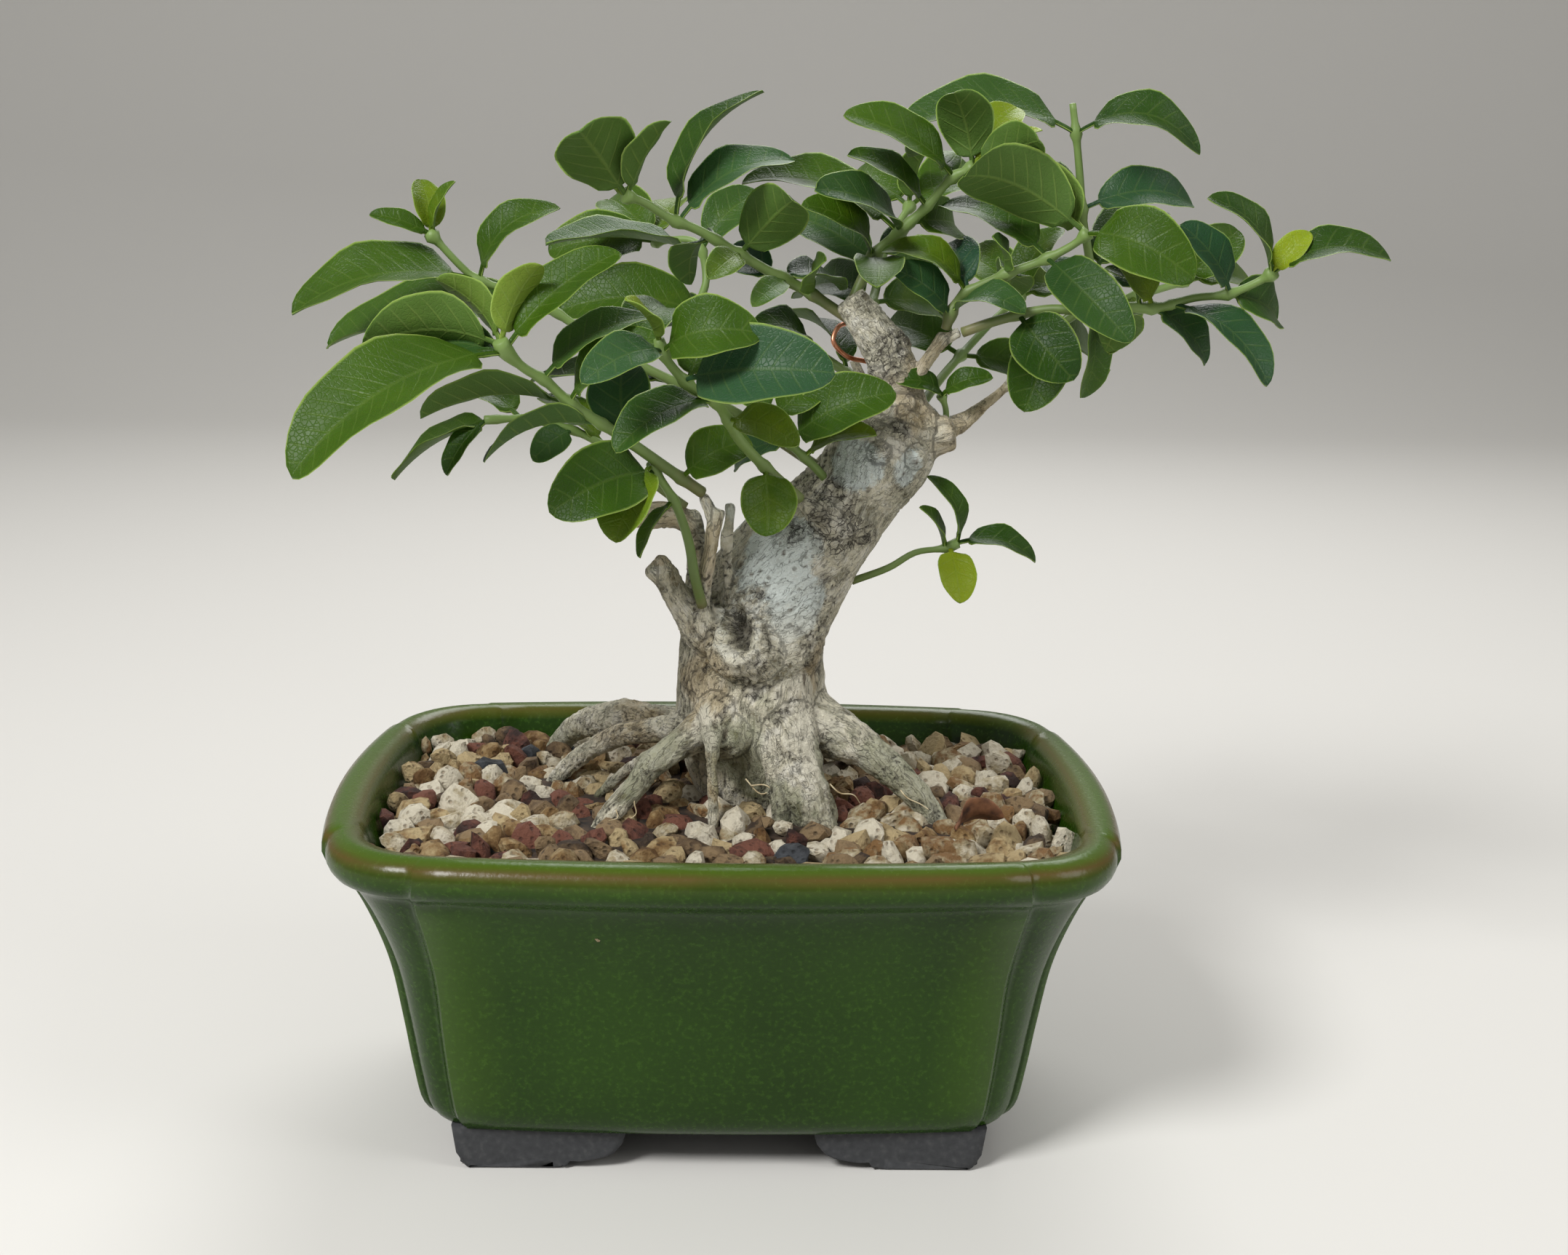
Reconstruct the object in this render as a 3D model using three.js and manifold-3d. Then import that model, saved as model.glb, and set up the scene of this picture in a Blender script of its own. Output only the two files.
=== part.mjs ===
import * as THREE from 'three';
import { mergeVertices } from 'three/addons/utils/BufferGeometryUtils.js';
import Module from 'manifold-3d';

const wasm = await Module();
wasm.setup();

// Driving dimensions, in millimetres. The pot stands centred over x = 0, y = 0 on z = 0.
const clearance = 0.35;
const potLength = 150;
const potDepth = 114;
const potHeight = 65;
const bodyHeight = 56.5;
const undersideHeight = 6.2;
const potFloorHeight = 13.5;
const holeDiameter = 11;
const holeSpacing = 44;
const footHeight = 8.5;
const footWidth = 8;
const footFront = 37.6;
const footEnd = 49.5;
const footInnerEnd = 17;
const sideFootBack = 12;
const creaseDepth = 1.5;
const lipBow = 3;
const bodyBow = 1.6;
const innerBow = 2;
const innerCrease = 0.2;
const screenSide = 20;
const screenThickness = 1;
const screenBar = 1.6;
const soilHeight = 59;
const soilMound = 1.6;
const moundCentre = new THREE.Vector2(6, 2);
const moundReach = 26;
const stoneSpacing = 5.6;
const stoneRise = 1.7;
const stoneGap = -0.9;
const stoneWander = 0.9;
const gapWander = 0.6;
const trunkSides = 14;
const trunkSteps = 19;
const rootSides = 6;
const twigSides = 5;
const stemSides = 5;
const stemStep = 9;
const leafThickness = 0.62;
const longLeaf = 13;
const petioleShare = 0.13;
const petioleWidth = 1.0;
const leafFold = 20;
const bladeSkew = 0.9;
const bladeFullness = 0.8;
const wireDiameter = 0.9;
const wireSteps = 28;

const glazeColour = 0x2f6a1e;
const soilColour = 0xb9a184;
const barkColour = 0xb8ad95;
const leafColour = 0x3f7a27;
const youngLeafColour = 0x8da52e;
const copperColour = 0xa8684a;
const plasticColour = 0x1d1f1e;

// Half length, half depth and corner size of the pot at each height, from the underside up the
// outside, over the lip and down the inside to the floor.
const outerProfile = [
  [undersideHeight, 50.5, 35, 7.5],
  [8, 54.2, 38.8, 8.5],
  [11, 56.9, 41.2, 9.2],
  [18, 58.3, 42.6, 9.6],
  [28, 59.8, 44.1, 10.2],
  [40, 62, 46.3, 11.6],
  [49, 65, 49.2, 13.2],
  [bodyHeight, 69.2, 52.4, 15.6],
  [58, 73.4, 55.6, 20],
  [60.8, potLength / 2, potDepth / 2, 22],
  [63.8, 74.3, 56.3, 21.6],
  [potHeight, 72.2, 54.2, 20.6],
];
const innerProfile = [
  [potHeight - 0.4, 67.8, 49.8, 19],
  [62.4, 66.8, 48.8, 18],
  [57, 65.2, 47.4, 17],
  [46, 58.6, 42.8, 14],
  [24, 53.4, 37.8, 11],
  [potFloorHeight, 50, 34.6, 9],
];

// Trunk axis from the root crown to the cut top: x, y, z and radius.
const trunkAxis = [
  [7, 5, 46, 5],
  [7, 5, 53, 9.5],
  [6.5, 5, 61, 11.5],
  [6, 4.5, 68, 13.6],
  [5.8, 4, 75, 15.2],
  [5.6, 4, 82, 14.6],
  [5.8, 4, 89, 14],
  [7.4, 3.5, 96, 13.4],
  [11, 3, 103.5, 12.8],
  [15.5, 2.5, 110.5, 11.6],
  [20.5, 2, 117, 10.2],
  [25.5, 1, 123.5, 9.3],
  [29.6, 0.5, 129.5, 9.4],
  [31.6, 0, 134, 8],
  [32, 0, 137.5, 5.6],
  [31.4, 0, 142, 4.5],
  [29.9, 0, 146.5, 4.4],
  [26.2, 0, 152.2, 3.9],
  [23.8, 0, 155.4, 3.5],
  [22, 0, 157.6, 3],
];

// Roots that grip the gravel, each from the crown to its buried end: x, y, z and radius.
const roots = {
  backLeft: [[0, 6, 71, 6.4], [-7, 8, 71.6, 4.4], [-14, 13, 71.6, 3.8], [-21, 20, 71, 3.6],
    [-28, 28, 67.6, 3.2],
    [-33, 34, 63.4, 2.8], [-38, 39, 56, 1.6]],
  left: [[-2, 0, 73.6, 5.6], [-9, 0, 73.8, 3.2], [-16, 5, 72.4, 2.6], [-22, 10, 69.4, 2.3],
    [-28, 13, 65.4, 2.1],
    [-33, 15, 60.5, 1.8], [-37, 16, 56, 1]],
  frontLeft: [[0, -4, 78, 6], [-5, -9, 76, 4], [-10, -11, 73, 2.9], [-14, -12, 70, 2.5],
    [-17.5, -13, 66, 2.4],
    [-21, -14, 62, 2.2], [-26, -15, 56, 1.3]],
  side: [[-10, -9, 73, 2.2], [-15, -5, 69.5, 1.4], [-19, -1, 66, 1.2], [-23, 2, 61.5, 1.1],
    [-27, 4, 56, 0.7]],
  prop: [[-1.5, -8, 80, 4.4], [-2.4, -13, 77.5, 2], [-2.4, -15.4, 72, 1.35], [-2.1, -15.8, 66, 1.25],
    [-2, -15.4, 60, 1.2], [-2, -15, 53, 0.8]],
  knuckle: [[2, -3, 76, 8], [0.6, -9, 75, 5], [0.4, -12, 73, 2.4]],
  front: [[8, 0, 80, 9.5], [11.5, -7, 74, 6.6], [14.2, -11, 68, 5.2], [17, -12.5, 62, 4.5],
    [19, -13, 56, 3.4],
    [20, -13, 53, 1.8]],
  frontStrand: [[8.6, -5, 77, 5], [9.2, -11, 71.5, 2.6], [10.4, -13, 65, 2], [11, -13.4, 59, 1.6],
    [11.2, -13, 52, 0.9]],
  right: [[12, 2, 78, 9], [19, -2, 75.5, 5.4], [25, -4, 73, 4.3], [31, -6, 69, 3.5], [36, -7, 64.5, 2.9],
    [41, -8, 59, 2.3], [44, -9, 55, 1.3]],
  backRight: [[10, 7, 75, 7], [16, 14, 70.5, 4.8], [23, 20, 66, 3.8], [29, 26, 61.5, 2.8],
    [34, 31, 55, 1.6]],
  back: [[7, 10, 77, 8], [9, 19, 72.5, 5.4], [12, 27, 67.5, 4], [14, 34, 62, 2.9], [15, 39, 55, 1.6]],
  backLow: [[2, 9, 76, 7], [-3, 17, 71.5, 4.2], [-8, 25, 67, 3.2], [-11, 32, 62, 2.4], [-13, 36, 55, 1.3]],
};

// Woody stubs, twigs and knots that belong to the old wood: x, y, z and radius.
const oldWood = {
  deadStub: [[0, -2, 92, 5.4], [-5.4, -6, 96.4, 3.7], [-8.6, -8, 101.5, 2.9], [-11.2, -9.6, 106.4, 2.6],
    [-12.6, -10.4, 110.4, 1.2]],
  deadFork: [[-10.6, -9, 104.5, 2], [-14.4, -10.6, 108.2, 1.7]],
  brownTwig: [[-2.6, -5, 95, 3.4], [-4.4, -9, 101.5, 1.7], [-4, -10.6, 106, 1.3], [-3, -11.6, 113, 1.2],
    [-2, -12.4, 119.6, 1.5]],
  brownFork: [[-2.6, -12, 117.4, 1.2], [-4.6, -13, 122.4, 1.05]],
  greyTwig: [[-3, -2, 94, 3.6], [-6, -4, 103, 2.1], [-6, -3, 111, 1.8], [-6.8, -2.6, 117.4, 1.5]],
  greyKnob: [[-6.2, -3, 114.6, 1.8], [-10.6, -2, 116.6, 2.5], [-15, -2, 116.4, 2.6], [-18, -2, 115, 1.2]],
  thinTwig: [[1.5, -4, 101, 2], [-0.2, -5.4, 109, 0.95], [0.5, -5.4, 119.4, 0.8]],
  ridge: [[23, -2, 114.5, 5], [18.8, -7.6, 117, 2.6], [16, -10, 119.4, 1.9], [13.8, -11.2, 121.2, 1.5]],
  upperTwig: [[31, 0, 139, 2.8], [33.4, -1.6, 142.2, 1.6], [35.6, -2, 144.8, 1.35], [38, -2.2, 148.4, 1.3],
    [40, -3, 151.4, 1.6]],
  upperFork: [[39.4, -2.8, 150.4, 1.2], [42.4, -4, 152.2, 1.05]],
  rightTwig: [[36, 1, 131, 4.4], [41.5, 2, 133.4, 2.5], [45.3, 3, 135.3, 1.7], [48, 3.5, 137.5, 1.15],
    [53, 5, 141.5, 0.98], [55.8, 6, 145.8, 0.95]],
  stubEnd: [[34, 0, 131, 4.6], [42.2, -0.6, 133.2, 3.5]],
  tanCut: [[33, 0, 133, 4.4], [37, 0, 138.2, 3.3]],
  whiteCut: [[31.5, -2, 136, 3.4], [32.2, -6, 137.6, 1.9]],
  knotRight: [[33.4, -3, 129, 4], [35.2, -8.4, 129.6, 2.1]],
  knotLeft: [[28.5, -4, 130, 3.6], [27.8, -9.2, 130.4, 1.7]],
  hiddenTwig: [[30, 2, 136, 2.6], [26, 6.6, 141, 1.2], [23.6, 8, 145.5, 1]],
  callus: [[4, -6, 92, 7.5], [2, -10.6, 93.6, 6.2]],
};
const woundHole = { centre: [3.2, -12.6, 94.6], radii: [2.7, 3.4, 3.6] };

// x, y, z along the wire: behind the upper trunk, out to its left in a loose loop and back behind it
const wirePath = [
  [33.4, 4.8, 145.6],
  [29.6, 5.6, 145.1],
  [25.4, 4.2, 145.8],
  [21.8, 1.4, 147],
  [19.3, 0.2, 149.8],
  [20.4, 2, 152.4],
  [23.2, 4.8, 152.6],
  [26.6, 5, 151.5],
  [30, 4.6, 150.3],
];

// Leafy stems. A path is x, y, z from the old wood to the tip. A leaf row is its place along the
// path, the x, y, z of its tip, its width, its roll about its own length in degrees and its arch.
const stems = [
  { node: 'leaves_left_low', thick: [2.2, 1.5], path: [[-4.8, -13.2, 123], [-11, -18, 128], [-16, -21, 132],
    [-20, -23, 135], [-28, -28, 141], [-32, -30, 145], [-35, -32, 147], [-38, -34, 150], [-39, -35, 152]],
    leaves: [
      [0.95, -71, -50, 131, 19, 25, 5],
      [0.96, -75, -38, 138, 17, 20, 3],
      [0.92, -59, -25, 148, 11, 30, 3],
      [0.98, -62, -36, 151, 13.5, -60, 4],
      [1.0, -32, -36, 165, 8, 45, 2],
      [1.0, -50, -30, 162, 8, -60, 2],
      [0.96, -19, -30, 167, 11, -35, 2],
      [0.78, -14, -27, 156, 10, -25, 3],
      [0.65, -12, -33, 153, 10, -50, 3],
      [0.39, -19, -17, 147, 12.5, 10, 2],
      [0.65, -54, -26, 138, 12.5, -25, 3],
      [0.5, -42, -36, 132, 10, -30, 3],
      [0.11, 4, -16, 133, 10, -60, 3],
    ] },
  { node: 'leaves_left_mid', thick: [2.0, 1.4], path: [[-4.6, -10, 101], [-6, -12.6, 107], [-7, -13.4, 113],
    [-8.4, -14.4, 118], [-10, -15.4, 122], [-13, -17, 127], [-14, -18, 129]],
    leaves: [
      [0.93, -31, -30, 122, 14.5, 55, 3],
      [0.99, -20, -26, 116, 12, 10, 2],
      [0.72, -16, -20, 112, 5.5, -10, 1],
    ] },
  { node: 'leaves_left_far', thick: [2.1, 1.3], path: [[20, 0, 124], [8, -1, 132], [0, -2, 137],
    [-10, -4, 142],
    [-18, -6, 146], [-25, -7, 150], [-32, -8, 155], [-41, -10, 159], [-46, -11, 161], [-54, -12, 169]],
    leaves: [
      [1.0, -64, -14, 172, 4.5, 50, 1],
      [1.0, -49, -14, 178, 4.5, -50, 1],
      [1.0, -56, -7, 178, 6.5, 0, 1],
      [0.86, -31, -12, 174, 10, -40, 4],
      [0.86, -78, -16, 155, 17, 25, 5],
      [0.69, -75, 0, 148, 20, 25, 4],
      [0.4, -38, 5, 141, 11, 15, 2],
      [0.52, -12, 10, 155, 11, -20, 3],
    ] },
  { node: 'leaves_left_under', thick: [1.8, 1.2], path: [[-8, -2.4, 118.4], [-17, -3, 125], [-27, -4, 132],
    [-38, -6, 135], [-45, -8, 135]],
    leaves: [
      [1.0, -52, -10, 125, 6.5, 25, 1],
      [0.94, -63, -2, 123, 11, 15, 2],
      [0.61, -36, -10, 128, 6.5, 50, 1],
      [0.84, -52, 8, 139, 10, 15, 2],
      [0.45, -36, 3, 138, 9, 10, 2],
    ] },
  { node: 'leaves_top_left', thick: [2.1, 1.4], path: [[22, 1, 154], [14, 1, 159], [8, -1, 162],
    [1, -4, 166],
    [-6, -7, 170], [-11, -9, 172], [-16, -12, 175], [-19, -14, 176]],
    leaves: [
      [0.99, -26, -26, 187, 15.5, -40, 2],
      [0.99, -11, -18, 189, 9, 0, 1],
      [0.99, -31, -10, 182, 8, -35, 1],
      [0.76, 11, -4, 183, 12.5, -25, 4],
      [0.77, 5, -2, 195, 12.5, 0, 4],
      [0.49, 11, -16, 176, 12.5, 50, 2],
      [0.49, -4, -16, 162, 6.5, 35, 1],
      [0.32, -3, 8, 164, 10, 35, 1],
      [0.16, 17, -7, 165, 8, -60, 1],
      [0.28, 4, -11, 157, 5.5, 30, 1],
      [0.3, 21, 11, 159, 10, -20, 2],
      [0.6, -8, 5, 160, 10, 25, 3],
    ] },
  { node: 'leaves_top_centre', thick: [2.1, 1.3], path: [[22.4, 0.6, 156.6], [27, 2, 166], [31, 0, 170],
    [36, -2, 175], [40, -4, 180], [44, -5, 182]],
    leaves: [
      [0.47, 2, 4, 179, 14.5, 25, 4],
      [0.27, 13, -8, 175, 10, 50, 3],
      [0.48, 15, -16, 178, 11, 45, 3],
      [0.67, 21, -5, 184, 9, 35, 2],
      [0.88, 20, -10, 191, 11, 45, 3],
      [0.99, 39, -12, 195, 11, -25, 2],
      [1.0, 54, -16, 187, 10, 60, 2],
      [0.99, 52, 1, 193, 10, -30, 2],
      [0.98, 56, -4, 189, 6.5, -15, 1],
      [0.27, 26, -17, 161, 10, 0, 1],
      [0.55, 43, 14, 171, 10, -60, 2],
      [0.88, 33, 7, 184, 10, -10, 2],
      [0.3, 36, 10, 165, 10, -30, 2],
    ] },
  { node: 'leaves_mid_right', thick: [1.9, 1.3], path: [[40, -3, 152.6], [41, -3, 156], [43, -4, 159],
    [50, -7, 163],
    [57, -9, 166], [62, -11, 169], [64, -12, 171]],
    leaves: [
      [0.08, 29, -8, 164, 9, 60, 2],
      [0.1, 53, -14, 157, 9, -25, 3],
      [0.24, 28, -2, 167, 9, 30, 4],
      [0.25, 41, 9, 168, 9, 20, 2],
      [0.49, 47, -12, 170, 6.5, 60, 1],
      [0.74, 39, 4, 175, 12.5, 20, 3],
      [0.99, 40, -22, 181, 14.5, -55, 5],
      [1.0, 48, -9, 180.5, 12.5, -60, 4],
      [1.0, 81, -24, 164, 13.5, -60, 4],
      [0.73, 70, -26, 153, 11, -40, 3],
      [0.5, 52, 5, 158, 9, -30, 2],
    ] },
  { node: 'leaves_right_long', thick: [2.0, 1.3], path: [[43, -4.4, 152.2], [50, -7, 155], [58, -9, 157],
    [65, -11, 157], [71, -13, 158], [77, -14, 158], [83, -16, 160], [89, -18, 161], [95, -19, 164],
    [96, -20, 165]],
    leaves: [
      [0.19, 62, -16, 145, 12.5, -55, 2],
      [0.61, 68, -14, 169, 8, 60, 2],
      [0.57, 67, -15, 165, 5.5, 40, 2],
      [0.67, 95, -26, 146, 11, -15, 3],
      [0.61, 87, -12, 148, 9, -50, 2],
      [0.84, 100, -10, 156, 11, -60, 2],
      [0.85, 79, -20, 173, 9, 60, 2],
      [1.0, 83, -24, 178, 9, 45, 3],
      [1.0, 102, -20, 172, 5.5, -60, 1],
      [1.0, 116, -22, 168, 10, -30, 4],
      [0.42, 57, 2, 165, 8, 15, 2],
      [0.5, 71, 2, 149, 10, -30, 2],
    ] },
  { node: 'leaves_right_back', thick: [1.9, 1.4], path: [[56.2, 6.2, 146.6], [61, 9, 151], [69, 12, 156],
    [78, 15, 158], [89, 18, 161]],
    leaves: [
      [1.0, 99, 20, 171, 10, -60, 3],
      [0.2, 56, 2, 137, 12.5, 25, 2],
      [0.44, 68, 8, 139, 9, 45, 2],
      [0.71, 72, 4, 148, 8, 15, 1],
      [1.0, 107, 34, 158, 12.5, -35, 3],
      [0.71, 89, 40, 167, 13.5, 35, 3],
      [0.2, 74, 34, 143, 13.5, -55, 2],
    ] },
  { node: 'leaves_right_back', thick: [1.8, 1.3], path: [[69, 12, 155], [69, 12, 163], [67, 12, 173],
    [66, 12, 181],
    [65, 12, 188], [64, 12, 194]],
    leaves: [
      [0.86, 31, 10, 189, 15.5, 30, 5],
      [0.86, 88, 8, 186, 11, -40, 6],
      [0.5, 89, 16, 176, 11, -45, 4],
      [0.5, 56, 30, 179, 11, 25, 3],
      [0.17, 87, 36, 174, 12.5, -15, 3],
    ] },
  { node: 'leaves_centre_front', thick: [2.2, 1.4], path: [[13.2, -11.6, 121.8], [8, -16, 127],
    [2, -23, 134],
    [-2, -29, 141], [-7, -34, 145], [-11, -37, 150], [-12, -38, 153]],
    leaves: [
      [0.95, 5, -44, 155, 12.5, -60, 4],
      [1.0, -17, -45, 160, 6.5, 30, 1],
      [0.81, 17, -48, 149, 15.5, -60, 4],
      [0.64, -19, -43, 135, 11, 20, 3],
      [0.53, 12, -34, 135, 8, -45, 2],
      [0.23, 7, -24, 117, 11, 0, 0],
      [0.95, -24, -50, 147, 9, 35, 3],
      [0.79, -4, -26, 156, 10, -20, 2],
    ] },
  { node: 'leaves_centre_back', thick: [1.8, 1.2], path: [[21, -2, 121], [16, -6, 127], [11, -9, 132],
    [8, -12, 137]],
    leaves: [
      [0.7, 30, -14, 142, 12.5, -60, 3],
      [0.51, 27, -11, 134, 8, -30, 2],
      [0.98, 17, -5, 144, 9, -50, 2],
      [0.98, -3, -8, 146, 9, 50, 2],
      [0.7, 1, -3, 126, 8, 50, 2],
    ] },
  { node: 'leaves_right_low', thick: [1.5, 1.0], path: [[24, 0, 104], [31, -1, 107], [36, -1, 110],
    [42, -1, 111],
    [44, -1, 112]],
    leaves: [
      [1.0, 38, -2, 125, 6.5, 40, 3],
      [0.88, 36, -8, 120, 4.5, 60, 1],
      [1.0, 59, -2, 109, 8, -25, 3],
      [0.92, 44, -9, 102, 8, 0, 1],
    ] },
  { node: 'leaves_stub', thick: [1.3, 1.0], path: [[41, 1, 134], [41, 1, 137], [40, 0, 140]],
    leaves: [
      [1.0, 31, -4, 143, 5.5, 50, 2],
      [1.0, 49, -3, 144, 5.5, -50, 2],
    ] },
  { node: 'leaves_back_left', thick: [2.0, 1.4], path: [[31, 1, 138], [24, 9, 142], [15, 16, 147],
    [5, 22, 150], [-6, 28, 153],
    [-5, 32, 159], [-7, 34, 166], [-16, 38, 166]],
    leaves: [
      [1.0, -37, 36, 164, 12.5, 55, 3],
      [0.61, -34, 24, 153, 14.5, 50, 4],
      [1.0, -26, 54, 174, 11, 30, 3],
      [0.84, 6, 40, 176, 10, -40, 3],
      [0.61, -16, 50, 146, 12.5, 40, 3],
      [0.41, -4, 36, 138, 11, 50, 3],
      [0.84, -36, 20, 166, 14.5, 10, 2],
      [1.0, -7, 58, 174, 11, 15, 3],
      [0.18, 12, 24, 153, 11, -20, 3],
      [0.3, 4, 8, 151, 11, 30, 3],
    ] },
  { node: 'leaves_back_centre', thick: [1.9, 1.4], path: [[25, 1, 153], [28, 16, 158], [30, 24, 165],
    [33, 31, 170],
    [36, 37, 174]],
    leaves: [
      [1.0, 24, 56, 179, 12.5, 25, 3],
      [1.0, 51, 52, 181, 12.5, -30, 3],
      [0.54, 12, 32, 172, 11, 45, 3],
      [0.54, 47, 42, 161, 11, -40, 3],
      [1.0, 40, 30, 188, 9, -20, 2],
      [0.26, 14, 34, 156, 12.5, 35, 3],
      [0.26, 42, 26, 153, 11, -50, 3],
    ] },
  { node: 'leaves_back_right', thick: [1.9, 1.4], path: [[34, 2, 134], [41, 16, 141], [47, 26, 146],
    [54, 34, 152],
    [60, 42, 156]],
    leaves: [
      [1.0, 76, 58, 156, 12.5, -30, 3],
      [1.0, 48, 56, 163, 12.5, 30, 3],
      [0.53, 32, 40, 150, 12.5, 40, 3],
      [0.53, 66, 30, 138, 11, -50, 3],
      [1.0, 68, 44, 170, 10, -25, 2],
    ] },
];

// A small repeatable generator, so that the stones lie the same way every time.
function makeDraw(seed) {
  let state = seed;
  return () => {
    state = (state * 1664525 + 1013904223) % 4294967296;
    return state / 4294967296;
  };
}

function toSolid(geometry) {
  const plain = geometry.clone();
  plain.deleteAttribute('normal');
  plain.deleteAttribute('uv');
  const merged = mergeVertices(plain, 1e-4);
  return new wasm.Manifold(new wasm.Mesh({
    numProp: 3,
    vertProperties: Float32Array.from(merged.attributes.position.array),
    triVerts: Uint32Array.from(merged.index.array),
  }));
}

function toGeometry(solid) {
  const mesh = solid.getMesh();
  const geometry = new THREE.BufferGeometry();
  geometry.setAttribute('position', new THREE.BufferAttribute(mesh.vertProperties, 3));
  geometry.setIndex(new THREE.BufferAttribute(mesh.triVerts, 1));
  return geometry;
}

function join(solids) {
  return solids.reduce((whole, next) => whole.add(next));
}

// Cutting can leave a crumb behind, which is dropped.
function mainBody(solid) {
  return solid.decompose().reduce((best, next) => (next.volume() > best.volume() ? next : best));
}

function fromTriangles(points, triangles) {
  const geometry = new THREE.BufferGeometry();
  geometry.setAttribute('position', new THREE.Float32BufferAttribute(points.flatMap((p) => [p.x, p.y, p.z]), 3));
  geometry.setIndex(triangles);
  return geometry;
}

// Skins a row of rings that all have as many points, and closes both ends with a fan.
function skin(rings) {
  const count = rings[0].length;
  const points = rings.flat();
  const triangles = [];
  for (let i = 0; i < rings.length - 1; i += 1) {
    for (let j = 0; j < count; j += 1) {
      const a = i * count + j;
      const b = i * count + ((j + 1) % count);
      triangles.push(a, b, b + count, a, b + count, a + count);
    }
  }
  const last = (rings.length - 1) * count;
  const middle = (ring) => ring.reduce((sum, p) => sum.add(p), new THREE.Vector3()).divideScalar(count);
  points.push(middle(rings[0]), middle(rings[rings.length - 1]));
  for (let j = 0; j < count; j += 1) {
    const next = (j + 1) % count;
    triangles.push(points.length - 2, next, j);
    triangles.push(points.length - 1, last + j, last + next);
  }
  return fromTriangles(points, triangles);
}

// A round tapering rod through stations of x, y, z and radius. grow makes it thicker all over.
function rod(stations, sides, steps, grow = 0, lobes = () => 1) {
  const curve = new THREE.CatmullRomCurve3(stations.map(([x, y, z]) => new THREE.Vector3(x, y, z)));
  const frames = curve.computeFrenetFrames(steps, false);
  const rings = [];
  for (let i = 0; i <= steps; i += 1) {
    const share = i / steps;
    const centre = curve.getPointAt(share);
    const place = curve.getUtoTmapping(share) * (stations.length - 1);
    const before = Math.min(Math.floor(place), stations.length - 2);
    const radius = THREE.MathUtils.lerp(stations[before][3], stations[before + 1][3], place - before) + grow;
    const ring = [];
    for (let j = 0; j < sides; j += 1) {
      const angle = (j / sides) * Math.PI * 2;
      const reach = radius * lobes(angle, share);
      ring.push(centre.clone()
        .addScaledVector(frames.normals[i], Math.cos(angle) * reach)
        .addScaledVector(frames.binormals[i], Math.sin(angle) * reach));
    }
    rings.push(ring);
  }
  const overrun = 0.5 + grow;
  const ends = [[rings[0], frames.tangents[0], -1], [rings[steps], frames.tangents[steps], 1]];
  if (grow > 0) ends.forEach(([ring, way, sign]) => ring.forEach((p) => p.addScaledVector(way, sign * overrun)));
  return toSolid(skin(rings));
}

// Outline of the pot: four bowed sides and four rounded corners that stand back behind a crease.
function potOutline(halfLength, halfDepth, corner, bow, inset, height) {
  const radius = corner - bow - inset;
  const centre = new THREE.Vector2(halfLength - corner, halfDepth - corner);
  const quarter = [];
  for (const share of [0, 1]) {
    quarter.push(new THREE.Vector2(halfLength - bow * share * share, centre.y * share));
  }
  quarter.push(new THREE.Vector2(halfLength - bow - inset, centre.y + inset * 0.6));
  for (const degrees of [16, 36, 54, 74]) {
    const angle = THREE.MathUtils.degToRad(degrees);
    quarter.push(new THREE.Vector2(centre.x + radius * Math.cos(angle), centre.y + radius * Math.sin(angle)));
  }
  quarter.push(new THREE.Vector2(centre.x + inset * 0.6, halfDepth - bow - inset));
  for (const share of [1, 0]) {
    quarter.push(new THREE.Vector2(centre.x * share, halfDepth - bow * share * share));
  }
  const back = [...quarter].reverse();
  const corners = [
    ...quarter.slice(0, -1),
    ...back.slice(0, -1).map((p) => new THREE.Vector2(-p.x, p.y)),
    ...quarter.slice(0, -1).map((p) => new THREE.Vector2(-p.x, -p.y)),
    ...back.slice(0, -1).map((p) => new THREE.Vector2(p.x, -p.y)),
  ];
  return corners.map((p) => new THREE.Vector3(p.x, p.y, height));
}

function innerRing([height, halfLength, halfDepth, corner], shrink) {
  return potOutline(halfLength - shrink, halfDepth - shrink, corner, innerBow, innerCrease, height);
}

function box(width, depth, height, x, y, bottom) {
  const geometry = new THREE.BoxGeometry(width, depth, height);
  geometry.translate(x, y, bottom + height / 2);
  return toSolid(geometry);
}

// One cloud-shaped foot: a leg along the front and a leg along the side, for the corner at +x, -y.
function footSolid() {
  const frontLeg = new THREE.Shape();
  frontLeg.moveTo(footEnd, footHeight);
  frontLeg.lineTo(footEnd - 2.4, 0);
  frontLeg.lineTo(31, 0);
  frontLeg.quadraticCurveTo(28.6, 0.1, 27.6, 1.6);
  frontLeg.quadraticCurveTo(24, 1.4, 21, 2.4);
  frontLeg.quadraticCurveTo(18.6, 3, 18, 5);
  frontLeg.lineTo(footInnerEnd, footHeight);
  const front = new THREE.ExtrudeGeometry(frontLeg, { depth: footWidth, bevelEnabled: false, curveSegments: 3 });
  front.rotateX(Math.PI / 2);
  front.translate(0, -footFront + footWidth, 0);

  const sideLeg = new THREE.Shape();
  sideLeg.moveTo(-footFront, footHeight);
  sideLeg.lineTo(-footFront + 1, 0);
  sideLeg.lineTo(-24, 0);
  sideLeg.quadraticCurveTo(-21.6, 0.1, -20.6, 1.6);
  sideLeg.quadraticCurveTo(-18, 1.4, -15, 2.4);
  sideLeg.quadraticCurveTo(-12.6, 3, -sideFootBack, 5);
  sideLeg.lineTo(-sideFootBack + 1, footHeight);
  const side = new THREE.ExtrudeGeometry(sideLeg, { depth: footWidth, bevelEnabled: false, curveSegments: 3 });
  side.rotateX(Math.PI / 2);
  side.rotateZ(Math.PI / 2);
  side.translate(footEnd - 1.4 - footWidth, 0, 0);
  return toSolid(front).add(toSolid(side));
}

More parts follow.
